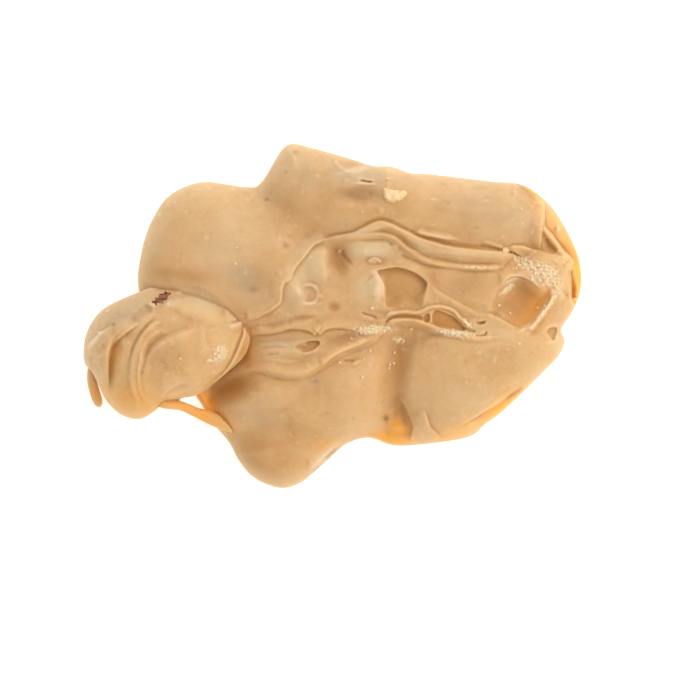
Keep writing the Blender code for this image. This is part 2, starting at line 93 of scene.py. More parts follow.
CRUST_WAVES = 9           # how many small waves lump it
CRUST_WAVE = 0.6          # the height of each, as a share
CRUST_LENGTHS = (0.7, 1.8)      # the shortest and the longest

# What the candy's finish reads of its form
FLANK = 0.32              # how far a surface must look up, from 0 to 1, to carry what is placed from above
# WALL: how far a surface must look up to carry the browner painted shade
WALL = 0.13               # the same for what is only browner
FINE_ROUNDS = 6           # rounds of smoothing that take out fine lines
BROAD_ROUNDS = 60         # and that take out folds
# FULL_RELIEF: the relief at which the painted shade of a hollow and the painted highlight of a crest are
# well on their way
FULL_RELIEF = 0.9         # relief at which a fold's colour is well on its way
# FULL_LINE: the height of a fine line at which its painted shade in a crease and painted highlight on a
# crest show at full strength
FULL_LINE = 0.05          # height of a line that shows at full strength
LIGHT_DEPTH = 2.6         # thickness through which about a third of the light comes
MOST_DEPTH = 12.0         # thickness beyond which none is looked for

# Small things that are strewn: the seed, how many, the corners between which they lie, sizes and amounts
Strewn = namedtuple("Strewn", "seed count corners sizes amounts")
BODY_CORNERS = ((-38.0, -32.0), (48.0, 33.0))
NUT_CORNERS = ((-49.0, -20.0), (-17.0, 6.0))
WHOLE_CORNERS = ((-49.0, -33.0), (49.0, 34.0))
PIMPLES = Strewn(11, 170, BODY_CORNERS, (0.25, 0.7), (-0.1, 0.18))
NUT_PIMPLES = Strewn(12, 40, NUT_CORNERS, (0.25, 0.7), (-0.1, 0.16))
PORES = Strewn(13, 220, WHOLE_CORNERS, (0.15, 0.4), (0.05, 0.3))
CRYSTALS = Strewn(14, 300, WHOLE_CORNERS, (0.15, 0.4), (0.1, 0.5))

Lobe = namedtuple("Lobe", "centre half_size top fall turn blend", defaults=(0.0, 3.0))
Fold = namedtuple("Fold", "points lift left right ends sharp", defaults=((0.2, 0.2), 2.0))
Pit = namedtuple("Pit", "points depth wall soft_side soft_wall lip", defaults=(0.0, 0.0, 0.0))
Patch = namedtuple("Patch", "centre half_size turn amount", defaults=(0.0, 1.0))


def fine_fold(points, lift, left, right, ends=(0.3, 0.3), sharp=1.6):
    """A fold that fades over more of its length and has a rounder crest, unless it says otherwise."""
    return Fold(points, lift, left, right, ends, sharp)


def patches(*rows):
    """Patches from rows of x, y and two half sizes, then turn and amount where they aren't 0 and 1."""
    return [Patch(row[:2], row[2:4], *row[4:]) for row in rows]


# The candy's outline, counter-clockwise from the left. The run under the coated nut is hidden.
BODY_OUTLINE = [
    (-38.4, 10.8), (-38.8, 7.2), (-38, 2.2), (-36, -3.8), (-32.8, -9.2), (-29.2, -13.2), (-26.2, -17.6),
    (-24.2, -21), (-20.6, -25.2), (-18.8, -28.6), (-16.4, -31.6), (-13.6, -33.4), (-9.8, -34.4),
    (-6.4, -33.4), (-4, -31.6), (-0.4, -28.4), (2.8, -25.6), (7.4, -24.3), (12, -25.8), (17.6, -25.7),
    (27.2, -24.2), (30.6, -21.6), (34.6, -18.6), (42.6, -10.8), (45.4, -7.8), (46.5, -5), (45.8, -2.6),
    (47.8, 0.4), (49.4, 4), (49.9, 7.6), (49.2, 12), (47.2, 16.6), (44.2, 21.4), (40.8, 24.6), (37.4, 26.4),
    (31.6, 26.9), (19.6, 28.3), (15.6, 28.5), (12, 29.8), (8, 30), (4, 31.3), (-4.8, 33.8), (-8, 34.4),
    (-10.2, 33), (-14, 26.8), (-16.8, 25.7), (-24.8, 26.8), (-29.2, 25.9), (-33, 23.6), (-35.6, 19.8),
    (-37.4, 15.4),
]

# The coated nut that overhangs the candy's lower left
NUT_OUTLINE = [
    (-49.6, -7.8), (-49.2, -4), (-47.4, -0.4), (-44.4, 2.2), (-37.4, 5.2), (-33.8, 6.4), (-30.8, 6.8),
    (-28.4, 6.2), (-25.6, 5.6), (-22.6, 3.8), (-20, 1), (-16.8, -3.2), (-16.6, -5.8), (-18.2, -8.8),
    (-23.6, -13.6), (-26.4, -15.6), (-29.8, -16.4), (-33.4, -17.2), (-35.4, -19), (-38.4, -20.6),
    (-42, -19.8), (-45, -17), (-46.8, -13.4), (-48, -11), (-49.2, -9.8),
]

# The large forms: centre, half size, top, fall from there to the rim, turn, and fillet where two meet
BODY_LOBES = {
    "dome": Lobe((-20.8, 14.6), (20, 16), 13.4, 4.6, -20),
    "dome_left": Lobe((-27.4, 11), (14, 14), 12, 5),
    "peak": Lobe((-6.8, 26), (9, 11), 12.8, 5, 15),
    "roll": Lobe((16.6, 22.8), (28, 11.5), 16.2, 5, -4, 4),
    "roll_end": Lobe((32, 19.8), (10, 9.5), 14.8, 7, -6),
    "skirt": Lobe((41.6, 17), (8, 9), 6.4, 3, 0, 2),
    "middle": Lobe((2.6, 5.2), (23, 13), 12.4, 4.6, 0, 4),
    "band": Lobe((24, 5.6), (21, 11), 13.6, 4.6, -2, 4),
    "tip": Lobe((41.4, 7.6), (7.4, 7), 13, 7.5, 20, 2),
    "lower_right": Lobe((30.1, -11.2), (18.1, 13.5), 14.2, 5, 9, 2.2),
    "lower_middle": Lobe((-2, -12.4), (16.5, 12), 12.2, 5, 10),
    "lower_neck": Lobe((-14, -17.2), (8.5, 9.5), 10.2, 5, -20),
    "lower_left": Lobe((-10.4, -28.8), (11, 7.8), 9.8, 5, 10, 4.2),
}

# Folds are ridges, or creases where their lift is negative. After it stand the reach to the left and right,
# the shares of the length over which the ends fade, and how sharp the fold is.
BODY_FOLDS = {
    "dome_crease": Fold([(-14.2, 26.6), (-13.4, 24.2), (-12.4, 22.8), (-9.6, 21.2), (-6.4, 18.6),
        (-4.2, 16.6), (-2.2, 15.2)], -0.3, 3.4, 3, (0.05, 0.15), 2.2),
    "neck_crease": Fold([(-21, -26.4), (-18, -26), (-14, -25.1), (-9.6, -23.6), (-6.8, -21.8)],
        -0.15, 5, 5, (0.05, 0.4), 2.2),
    "tuck_by_nut": Fold([(-32.8, 6.2), (-25.8, 4.8), (-20.8, 1), (-17.6, -3.6)], -0.2, 0.9, 5, (0.3, 0.2)),
    "lobe_valley": Fold([(17.2, -2.4), (16.2, -5), (15, -7.4), (14, -9.8), (13.3, -12.2), (12.9, -14.4),
        (13, -17), (13.9, -18.6), (14.8, -20.2), (15.3, -22.2), (15, -24.8)], -1, 3.2, 5, (0.4, 0.2), 3),
    "rope": Fold([(-2.6, 15), (0, 15.5), (4, 16.2), (6, 17.1), (8, 18.1), (9.8, 18.6), (11.6, 18.1),
        (13.4, 17.2), (15.2, 16.4), (17.4, 15.3), (20, 14.5), (23.4, 13.6), (28, 13), (33.6, 12.5),
        (36.4, 12.1)], 1, 0.6, 3.2, (0.1, 0.06)),
    "rope_groove": Fold([(5.4, 17.6), (8, 18.9), (9.8, 19.2), (12, 18.6), (14, 17.6), (16, 16.6),
        (18, 15.8), (20, 15.2), (23, 14.4), (26, 14), (30, 13.7), (33.8, 13.3)],
        -0.25, 0.8, 0.6, (0.15, 0.1)),
    "film_edge": Fold([(-0.4, 15.4), (-2.4, 14.9), (-3.8, 14.2), (-5.4, 12.2), (-6.6, 10.8), (-7.8, 9),
        (-8.4, 7.4), (-9.6, 6.6), (-10.1, 5), (-10.3, 3), (-11.4, 1.8), (-13, 0.8), (-15, -0.2),
        (-17.4, -0.9)], 0.5, 0.5, 2.6, (0.1, 0.05)),
    "tent": Fold([(-1.6, 14), (-1.8, 10), (-1.4, 6)], 0.45, 1.4, 3.6, (0.2, 0.3)),
    "pale_lip": Fold([(8.6, 8.7), (9.5, 7.4), (10.1, 6.2), (10.2, 4.6), (10.2, 3)],
        0.6, 0.4, 3.4, (0.15, 0.25)),
    "upper_thread": Fold([(10.4, -0.4), (11.6, 0.3), (12.8, 0.6), (14.6, 0.8), (16.6, 0.6), (18, 0.9),
        (19.4, 1.6), (21.2, 1.8), (23, 1.5), (24.4, 0.8), (25.4, -0.4), (26.8, -1.6), (28.6, -2.6)],
        0.6, 0.6, 0.5, (0.06, 0.15), 1.6),
    "lower_thread": Fold([(10.6, -1.8), (12, -1), (14, -0.8), (16, -0.9), (18, -1.3), (20, -2.1),
        (22.4, -2.8), (25.6, -3.3), (28.6, -3.9), (31, -4.2), (34.6, -4)], 0.8, 0.6, 1.6, (0.06, 0.3), 1.6),
    "upper_edge_left": Fold([(-16.6, -3.8), (-14.4, -3.5), (-12, -3.3), (-10.2, -2.9), (-8.6, -2.4),
        (-7, -2.4), (-5.4, -2.6), (-4.2, -3), (-3, -4)], 0.7, 2.6, 0.5, (0.2, 0.05)),
    "upper_edge_mid": Fold([(-2.8, -4), (-2, -3.1), (-1, -2.5), (1, -2.2), (4, -2.6), (7, -3.2),
        (10.4, -3)], 0.7, 2.4, 0.5, (0.05, 0.15)),
    "basin": Fold([(-15.2, -5.2), (-8, -5), (-3.4, -5), (4, -4.2), (8, -4)], -0.3, 1.4, 2.4, (0.3, 0.2)),
    "long_ridge": Fold([(-18, -11.2), (-14, -10.4), (-9, -11.2), (-5.4, -10.9), (-3, -9.6), (-1, -8.4),
        (1, -7.2), (3.2, -6.2), (6, -5), (8.4, -4), (10.6, -3)], 1.05, 2.6, 1.7, (0.2, 0.1)),
    "flap_edge": Fold([(13.2, -15.2), (13.4, -16.6), (14.2, -17.8), (14.9, -19.2), (15.5, -20.6), (16, -22),
        (15.7, -23.4), (15.4, -25.6)], -1, 0.4, 4.4, (0.4, 0.2), 2.2),
    "rim_crease": Fold([(24.6, -22.4), (27.6, -20.9), (30.6, -19.1), (33.4, -17.5), (35.4, -16.1),
        (36.8, -15.1), (38.4, -13.8)], -3.2, 0.5, 1.9, (0.6, 0.12)),
    "crater_rim": Fold([(44.1, 4.4), (43.6, 3), (42.9, 1.9), (42, 0.8), (41, -0.6), (40, -1.8),
        (38.6, -2.6)], 0.5, 1.2, 0.5, (0.1, 0.12)),
    "tip_edge": Fold([(34.6, 13.5), (36.4, 13.8), (38, 13.7), (39.6, 13.2), (41.6, 12.8), (44, 12.1),
        (46.2, 11.6), (47.2, 10.9)], 0.7, 0.4, 2.2, (0.15, 0.05)),
    "tip_side": Fold([(47.5, 10.6), (47.2, 9.2), (46.4, 7.4), (45.6, 6), (44.6, 4.6)],
        0.7, 0.4, 1.6, (0.05, 0.15)),
    "roll_end_edge": Fold([(35.8, 26.6), (38, 25), (39.6, 23.7), (40.6, 23), (41.9, 22.4), (41.9, 20),
        (41.7, 17.6), (41.5, 15), (41.3, 12.8)], 0.9, 0.4, 2.4, (0.1, 0.15)),
    "skirt_fold": Fold([(41.9, 17.8), (43, 16.5), (44.4, 14.7), (45.8, 12.9), (47.2, 11.4)],
        1, 0.4, 1, (0.1, 0.1)),
    "end_hollow": Fold([(36.2, 27.2), (38.2, 25.7), (40.2, 24.2), (42, 23.2), (43, 21.8)],
        -1.3, 1.6, 0.4, (0.2, 0.3)),
    "top_lip": Fold([(2.4, 28.6), (4, 29.4), (6, 29.8), (8, 29.8)], 0.3, 0.4, 2.4, (0.2, 0.4)),
}

# Pits: edge, depth, wall width, the side to which the wall is wider, by how much, and the lip's height
BODY_PITS = {
    "first": Pit([(9, 8.9), (10.4, 9.4), (13.4, 9.7), (16.6, 8.6), (18.5, 7.2), (19, 6), (18.4, 4),
        (17.6, 1.6), (14, 1.3), (10.9, 1.8), (10.6, 4), (10.6, 5.8), (9.6, 7.8)], 1.5, 0.35, -75, 4),
    "second": Pit([(19.9, 0.2), (20.4, 1), (21.2, 1.15), (23, 0.5), (24.6, -0.4), (26.6, -2.8),
        (24.6, -2.9), (21.4, -2.3), (20, -1.5)], 1, 0.35, -110, 0.6),
    "basin_dent": Pit([(-7.2, -5.9), (-5.4, -5.2), (-3, -4.9), (-2.4, -5.6), (-3.6, -6.7), (-5.6, -7.3),
        (-7.1, -6.6)], 0.9, 0.3, 160, 1.8, 0.1),
    "crater": Pit([(33.4, 5.2), (35.4, 7), (36.8, 7.3), (38.4, 7), (39.6, 6.3), (41.8, 5.2), (43.4, 5.6),
        (43.9, 4.2), (43.2, 2.6), (41, -0.6), (39.6, -2), (38.2, -2.5), (36.6, -2.1), (33.8, -0.4),
        (32.2, 0.2), (32, 2.6)], 1.6, 2.8, 170, 2),
}

NUT_LOBE = Lobe((-34.4, -6.8), (16.5, 12.5), 17.4, 6.0, 12.0)
NUT_FOLDS = {
    "outer_layer": Fold([(-44.6, -14.8), (-44.8, -11), (-44.7, -8), (-44.1, -6), (-42.8, -4.5),
        (-41.2, -3.2), (-39.6, -2.2), (-38, -1.4)], 0.9, 3.2, 0.6, (0.15, 0.2)),
    "deep_groove": Fold([(-41.2, -2.8), (-42.6, -4.2), (-43.4, -6), (-43.9, -8.6), (-44.1, -11.6),
        (-43.9, -14.8)], -1.2, 2.4, 1.3, (0.35, 0.3)),
    "second_layer": Fold([(-33.6, -0.6), (-36, -2.3), (-37.6, -4.1), (-38.8, -6.4), (-39.5, -9),
        (-39.8, -12), (-39.4, -15), (-38.2, -17.6)], 0.6, 2.6, 0.9, (0.15, 0.2)),
    "thin_ridge": Fold([(-36.4, -4.2), (-37.6, -6.6), (-38.3, -9.4), (-38.5, -12.4), (-38, -15.4),
        (-36.8, -18)], 0.25, 1.4, 0.4, (0.25, 0.25)),
    "inner_edge": Fold([(-36.8, -10.6), (-36.4, -8.4), (-35.4, -6.9), (-33.6, -5.7), (-31.6, -4.8),
        (-30, -4.1), (-28.4, -3.3), (-26.6, -2.4)], 1, 1.6, 6, (0.5, 0.3)),
    "shallow_valley": Fold([(-35.6, -3.6), (-32, -2.8), (-28.6, -1.6), (-26, -1.4)],
        -0.35, 2.4, 1.8, (0.4, 0.4)),
    "crest": Fold([(-33.2, 0.9), (-31, 2), (-28.4, 1.7), (-25.4, 0.7), (-23, -0.5), (-21, -2.2)],
        0.8, 2.2, 2.4, (0.35, 0.3)),
    "cap_valley": Fold([(-31.6, 4.2), (-28.6, 3.9), (-25.4, 3), (-22.8, 1.4), (-20.8, -0.6)],
        -0.75, 1.5, 1.4, (0.2, 0.15)),
    "bottom_crest": Fold([(-34.2, -16.4), (-33, -14.9), (-31.4, -13.8), (-29.8, -13.1), (-28, -12.9)],
        1, 3.6, 0.4, (0.4, 0.4), 2.4),
    "under_layer": Fold([(-17.9, -1.4), (-17.9, -3.2), (-18.6, -5.2), (-19.4, -7.2), (-20.4, -9.2),
        (-21.8, -11.2), (-23.8, -13), (-26.4, -14.8)], -0.8, 0.4, 0.6, (0.05, 0.2)),
}

# Finer folds than the solids have
FINE_BODY_FOLDS = {
    "basin_streak": fine_fold([(-14.8, -6.6), (-11.6, -6.2), (-8.6, -6.4)], -0.2, 0.6, 0.4),
    "ridge_streak": fine_fold([(-15.6, -8.9), (-12.2, -8.6), (-8.8, -9.2), (-6, -8.8)], 0.25, 0.9, 0.5),
    "rope_strand": fine_fold([(1, 14.9), (4, 15.5), (7.6, 15.9), (10.2, 16), (12, 15.5), (13.2, 14.7),
        (14.4, 13.7), (15.8, 12.7), (18, 11.4), (20.4, 10.6), (23.6, 10.1), (27, 9.7), (31, 9.6),
        (34.6, 9.8)], 0.5, 0.9, 0.8, (0.12, 0.08)),
    "strand_crease": fine_fold([(7.4, 16.4), (9.6, 16.8), (11.4, 16.5), (13, 15.8), (14.2, 14.9),
        (15.2, 14), (16.6, 13.3), (18.6, 12.6)], -0.35, 1.2, 0.6),
    "strand_foot": fine_fold([(4.6, 15.1), (8, 15.2), (10.6, 15.1), (11.6, 14.6), (12.3, 13.9)],
        -0.25, 0.35, 1, (0.3, 0.1)),
    "strand_under": fine_fold([(13.4, 12.6), (15, 11.7), (16.8, 10.9), (18.4, 10.2), (20.6, 9.8),
        (23.4, 9.5)], -0.25, 0.35, 0.9, (0.1, 0.3)),
    "strand_line": fine_fold([(21, 10.9), (26, 10.5), (30, 10.3), (33.6, 10.4)], -0.12, 0.5, 0.35),
    "roll_lip": fine_fold([(16.2, 16.9), (18.4, 16.1), (20.4, 15.8), (22.8, 15.4), (25.6, 15.2)],
        0.5, 1.4, 0.35, (0.15, 0.3)),
    "roll_lip_right": fine_fold([(29.4, 14.9), (31.4, 14.4), (33, 13.9), (34.2, 13.6)],
        0.3, 0.8, 0.3, (0.3, 0.1)),
    "groove_right": fine_fold([(29, 14), (31.4, 13.6), (33.6, 13.1)], -0.4, 0.5, 0.3, (0.2, 0.1)),
    "tip_slot": fine_fold([(35, 12.9), (36.2, 12.5), (37, 12), (38.4, 11.4)],
        -1, 0.35, 0.3, (0.08, 0.4), 1.5),
    "film_lip_upper": fine_fold([(-1.4, 15.2), (-3.4, 14.4), (-4.8, 13), (-6.2, 11.2), (-7.3, 9.9),
        (-8.1, 8)], 0.15, 0.35, 0.35, (0.15, 0.1), 1.4),
    "film_lip_lower": fine_fold([(-9.4, 7.3), (-10, 6), (-10.2, 4.4), (-10.3, 2.8), (-12.2, 1.2),
        (-14, 0.4)], 0.15, 0.35, 0.4, (0.1, 0.2), 1.4),
    "facet_slit": fine_fold([(2, 13.3), (2.4, 12.4), (3.3, 11.2), (4.6, 9.8)], -0.35, 0.35, 1, (0.1, 0.4)),
    "burst_rim": fine_fold([(7.3, 10.5), (7.6, 11.1), (8.4, 11.4), (9.2, 11.2), (9.7, 10.5)],
        0.35, 0.35, 0.3, (0.1, 0.1), 1.5),
    "slit_hook": fine_fold([(27.4, -3.6), (29.2, -3.9), (30.4, -3.8), (30.8, -3)],
        -0.6, 0.3, 0.35, (0.3, 0.1), 1.5),
    "slit_crease": fine_fold([(25.8, -2.2), (27.4, -2.8), (29, -3.2)], -0.5, 0.35, 0.4, (0.1, 0.3)),
    "band_valley": fine_fold([(20.4, 9.2), (20.3, 6.8), (22, 5), (24.6, 3.5), (27.4, 1.9), (30.4, 0.9),
        (33.4, 0.2)], -0.12, 1.6, 0.9, (0.2, 0.2), 2),
    "band_crease": fine_fold([(19.4, 6), (20.8, 4.8), (23, 3.5), (25.6, 2.1), (28.4, 0.6), (31, -0.2)],
        0.15, 0.6, 1.4, (0.2, 0.3), 2),
    "short_crease": fine_fold([(5.4, 0.9), (6.8, 0.4), (8.2, 0), (9.4, -0.8)], -0.4, 0.35, 0.6),
    "dome_foot": fine_fold([(-16, -1.6), (-12.4, -1.9), (-9.6, -1.3), (-6.4, -0.5), (-2.4, 0)],
        -0.4, 1.2, 1.2, (0.3, 0.3), 2),
    "basin_scratch": fine_fold([(-13.4, -7.9), (-12, -7.7), (-10.4, -7.4)], -0.2, 0.8, 0.35, (0.4, 0.2)),
    "dent_lip": fine_fold([(-6, -7.6), (-4.6, -7.4), (-3.2, -6.8), (-2.2, -5.9)],
        0.2, 0.3, 0.45, (0.2, 0.3), 1.5),
    "ridge_edge": fine_fold([(-2.4, -10), (-1, -9), (0.2, -8), (1.4, -7.3), (3, -6.6), (5, -5.8),
        (7.8, -4.7)], 0.5, 1.6, 0.35, (0.1, 0.2)),
    "ridge_scratch": fine_fold([(1.8, -9), (3.4, -8.8), (4.8, -9)], -0.2, 0.4, 0.5),
    "flap_fold": fine_fold([(18.2, -18.2), (18.5, -19.6), (19, -21.2), (19.5, -22.4), (20.4, -23.2),
        (21.6, -24.6)], 0.55, 0.4, 3.2, (0.3, 0.1)),
    "lobe_brow": fine_fold([(16.8, -5.4), (21.6, -4.8), (27.6, -5.2), (37.6, -6.2)],
        0.25, 1.5, 3, (0.3, 0.4), 2),
    "rim_crest": fine_fold([(31, -18.1), (34, -16.4), (36.2, -15), (38.2, -13.6)], 0.3, 1, 0.35),
    "crater_flap": fine_fold([(33.6, 6.2), (35, 7.6), (36.6, 8.1), (38.4, 7.7), (39.8, 6.9), (41.2, 5.9),
        (42.6, 6.2), (43.8, 6.2)], 0.6, 2.4, 0.35, (0.15, 0.1), 1.9),
    "crater_lip": fine_fold([(44, 4.2), (43.5, 3), (42.8, 1.8), (41.8, 0.4), (40.7, -1), (39.4, -2.2),
        (38, -2.7)], 0.35, 0.4, 0.35, (0.05, 0.12), 1.5),
    "crater_foot": fine_fold([(29.6, 0.8), (32, 0.4), (34, -0.6), (35.8, -1.6), (37.6, -2.3)],
        -0.3, 0.9, 0.35, (0.4, 0.2), 1.9),
    "tip_line": fine_fold([(43.8, 11.6), (45, 10.8), (45.8, 9.6), (45.8, 8.4)], 0.2, 0.3, 0.8, (0.2, 0.2)),
    "tip_hollow": fine_fold([(45.8, 5.4), (46.4, 4.6), (47, 3.6)], -0.4, 0.8, 0.8, (0.3, 0.3), 1.9),
    "skirt_hollow": fine_fold([(42.4, 15.8), (43.4, 13.9), (44.8, 12.5)], -0.5, 0.6, 1, (0.2, 0.15), 1.9),
    "skirt_slit": fine_fold([(47, 9.4), (47.5, 7.2), (47.8, 5.4), (48, 3.2)], -1.6, 1.3, 0.35, (0.1, 0.1)),
    "top_slit": fine_fold([(5.5, 27), (6.4, 26.85), (7.2, 26.7), (8.4, 26.6)],
        -1.5, 0.3, 0.3, (0.15, 0.4), 1.5),
    "top_slit_lip": fine_fold([(4.2, 26.7), (6, 26.4), (8.4, 26.3), (9.6, 26.2)],
        0.3, 0.3, 0.4, (0.2, 0.3)),
    "top_film": fine_fold([(0.7, 31.2), (1.5, 30), (2.6, 29.2), (3.6, 28.8)], 0.6, 0.35, 1, (0.1, 0.2)),
    "wedge": fine_fold([(37, 26.6), (38.4, 25.3), (39.8, 24.1), (41, 23.4)], -1.3, 1.1, 0.4, (0.3, 0.2)),
    "lump_ridge": fine_fold([(-4.8, -30.8), (-3, -29.2), (-1.4, -27.9), (0.4, -26.6), (1.8, -25.6)],
        0.5, 2, 0.4, (0.2, 0.2)),
}

FINE_BODY_PITS = {
    "flange": Pit([(35.6, 27.8), (37.7, 25), (39.3, 23.5), (40.5, 22.8), (42.2, 22.5), (42.3, 20),
        (42.2, 18), (43.4, 16.6), (44.8, 14.8), (46.2, 12.9), (47.6, 11.4), (48, 10.4), (47.5, 8.8),
        (47.7, 6), (47.8, 3.2), (49.4, 1), (52, 6), (51, 13), (48, 20), (43, 26.5)], 3, 0.3),
    "slit": Pit([(10.5, -1.4), (11.2, -0.5), (12.4, 0.1), (14.6, 0.2), (17.2, 0.1), (18, -0.2), (18, -0.8),
        (16, -0.5), (14, -0.4), (12.2, -0.6), (11.2, -1.2)], 0.45, 0.25),
    "small_pit": Pit([(18.1, -0.5), (18.4, 0.2), (19.1, 0.6), (19.5, 0.2), (19.5, -0.8), (19, -1.4),
        (18.4, -1.2)], 0.7, 0.25),
    "third_pit": Pit([(28.7, -1.3), (29.6, -1.1), (30.5, -1), (30.6, -1.4), (30, -1.7), (29.2, -1.8)],
        0.9, 0.3),
    "tip_dent": Pit([(42.7, -3.2), (43.2, -2.4), (44.4, -2.2), (44.9, -2.6), (44.8, -3.6), (44.4, -4.6),
        (44, -4.9), (43.4, -4.3)], 1.2, 0.35, 0, 0, 0.3),
    "lump_crack": Pit([(-3.8, -31), (-2.2, -29.6), (-1.2, -28.4), (0.2, -27.2), (1.8, -26), (2.2, -26.4),
        (0.8, -27.6), (-0.6, -28.8), (-1.6, -30.2), (-3.2, -31.4)], 1.1, 0.3),
}

FINE_NUT_FOLDS = {
    "upper_stripe": fine_fold([(-33, -1.2), (-35.2, -2.6), (-37, -4.4), (-38.2, -6.4)], -0.2, 1.1, 0.9),
    "upper_ridge": fine_fold([(-34.6, 1), (-36.8, -0.6), (-38.8, -2.4), (-40.6, -4.2)], 0.25, 1.2, 1),
    "bowl_valley": fine_fold([(-37.6, -9.4), (-37, -7.2), (-35.8, -5.6), (-34, -4.4), (-31.6, -3.6)],
        -0.5, 1.4, 1.2, (0.3, 0.3), 1.8),
    "left_lip": fine_fold([(-48.9, -8.8), (-48.3, -6.2), (-46.6, -4.2), (-44.9, -2.8), (-43.6, -1.6)],
        0.9, 0.4, 2.6, (0.15, 0.3)),
    "left_hollow": fine_fold([(-47.8, -7.4), (-48, -9.4), (-47.3, -11.4)], -0.5, 0.8, 0.5, (0.3, 0.2)),
    "second_crease": fine_fold([(-34.6, 0.2), (-36.4, -1.5), (-38, -3.4), (-39.2, -5.6), (-39.9, -7.6),
        (-40.7, -9.8)], -0.2, 0.4, 0.6, (0.15, 0.3), 1.5),
    "grey_valley": fine_fold([(-35.6, 2.2), (-37.4, 0.6), (-39.4, -0.8), (-41.2, -1.8)],
        -0.7, 1.2, 1.4, (0.2, 0.4), 1.2),
    "second_ridge": fine_fold([(-36.4, -8), (-37.2, -11), (-37.2, -14), (-36.4, -16.8)], 0.25, 1.3, 0.6),
    "sugar_crease": fine_fold([(-24.9, -1.8), (-25, -3.8), (-24.6, -5.4), (-23.8, -6.6)],
        -0.15, 1.8, 0.5, (0.4, 0.3)),
    "bottom_crease": fine_fold([(-34, -16.8), (-32.6, -15.3), (-31, -14.3), (-29.2, -13.8), (-27, -13.9)],
        -0.6, 0.35, 1.3, (0.05, 0.4), 1.5),
    "rim_layer": fine_fold([(-17.4, -2), (-17.6, -4.6), (-18.5, -7), (-19.8, -9.6), (-21.4, -11.6),
        (-23.6, -13.4)], 0.45, 0.5, 0.4, (0.1, 0.2), 1.5),
    "corner_tear": fine_fold([(-20.8, -2), (-19.2, -1.8), (-18.2, -1.2), (-17.6, -0.7)],
        0.7, 0.3, 1.2, (0.3, 0.1), 1.5),
    "corner_notch": fine_fold([(-20.4, -1.2), (-19.2, -1.2), (-18.4, -0.7)],
        -0.6, 0.5, 0.3, (0.3, 0.1), 1.5),
    "left_nick": fine_fold([(-49, -10.8), (-48, -11.2), (-46.9, -12.2)], -0.6, 0.35, 0.5, (0.1, 0.4)),
}
FINE_NUT_PITS = {
    "pecan_hole": Pit([(-35.8, 2.4), (-35.9, 2.9), (-35.2, 3.1), (-35.3, 3.6), (-34.6, 3.7), (-34.4, 4.5),
        (-33.7, 4.4), (-33.2, 5), (-32.7, 4.6), (-32.2, 4.8), (-32.1, 4.2), (-32.7, 3.8), (-32.8, 3.1),
        (-33.5, 3), (-33.6, 2.4), (-34.3, 2.5), (-34.8, 1.9), (-35.3, 2.2)], 1.6, 0.3),
}

# Soft dents and swellings, as patches whose amount is the height
BODY_DENTS = patches(
    (0.3, 1.7, 1.2, 1, 0, -0.45), (4.6, -21, 3, 2, 0, 0.2), (1.2, 11.2, 1.9, 2.8, 10, -1.5),
    (5.4, 24.2, 4, 1.8, -3, -1.2), (4.2, 30.5, 2.4, 0.7, 0, -0.5), (-20.2, -14.8, 4.6, 2.6, 25, -2.2),
    (7.6, 13.4, 4.4, 1.6, 0, 0.6), (-5.6, 7.6, 5.2, 2.3, 112, -0.7), (-8.6, 3.2, 1.8, 2.6, 0, -0.4),
    (12.7, 13.9, 0.6, 0.5, 0, 0.3), (1.5, 12.8, 0.4, 0.4, 0, 0.5), (8.4, 10.9, 0.9, 0.3, 10, 0.3),
    (8, 1.5, 0.6, 0.4, 0, 0.25), (4.9, -9.3, 0.9, 0.4, 28, 0.35), (45.3, 4, 0.9, 1.3, 0, 0.4),
    (-26, 16, 8, 6, 0, 0.35), (-16, 19, 4, 5, 30, -0.25), (22, 21.5, 6, 2.4, -5, 0.3),
    (33, 21, 4, 3, 0, -0.2), (26, -10, 7, 4, -10, 0.35), (33, -9, 4, 3, 0, -0.25), (4, -16, 5, 5, 0, 0.25),
    (-4, -17, 4, 3, 0, -0.25), (-11, -16.5, 3.5, 2.6, 25, 0.4), (10.8, -20.5, 0.9, 1.6, 0, -0.2),
)

# The thin ring that a burst bubble left in the recess
RING_CENTRE = (-4.7, 4.3)
RING_RADIUS = 1.9
RING_HALF_TURN = 150.0
RING_LIFT = 0.2
RING_REACH = 0.4

# Threads of candy: (x, y, z, radius) along each
STRAND = [
    (-34.4, -16.9, 6.6, 1.3), (-33, -17.5, 6.2, 1.1), (-30, -18, 5.3, 0.95), (-27, -19.3, 4.9, 1.05),
    (-24.2, -20.4, 5, 1.35), (-21.6, -21.7, 5.6, 1.1), (-19.2, -22.8, 6.3, 0.7),
]
DRIP = [
    (-47.8, -9.4, 4.2, 0.8), (-48.1, -12, 3.2, 0.9), (-47.6, -14.6, 2.2, 1.05), (-46.9, -16.8, 1.4, 1),
    (-46.6, -17.8, 1.2, 0.7), (-46.5, -18.3, 1.2, 0.25),
]

# --- Where colour, painted shade and light, and sugar lie -------------------------------------------------

# Sugar that grew in grains on the candy
SUGAR_PATCHES = patches(
    (-22.2, -7.4, 1.5, 1.2, 60), (-24.3, -8.9, 0.5, 0.4), (8.2, -2.8, 3.6, 0.8, 4),
    (24.2, -3.4, 3.2, 0.65, -8), (27, -1.6, 1.4, 0.5, -50, 0.7), (42.2, 8.4, 3, 2, -35, 0.9),
    (38.6, 10.4, 2.2, 1.2, -20, 0.8), (34.9, 5.3, 1.7, 0.5, 40, 0.7), (42.7, 1.5, 3.6, 0.42, 52, 0.7),
    (-1.4, -29, 3.2, 0.45, 38, 0.6), (28.8, 9.7, 2.8, 0.3, -2, 0.6), (13.2, -4.8, 1.1, 0.6, 0, 0.7),
    (-46.2, -3.4, 0.5, 0.4, 40), (-44.8, 1, 0.6, 0.3, 40, 0.6), (-32.4, 2.6, 0.7, 0.5, 30, 0.5),
    (-35.3, 2.4, 1, 0.5, 20, 0.5),
)

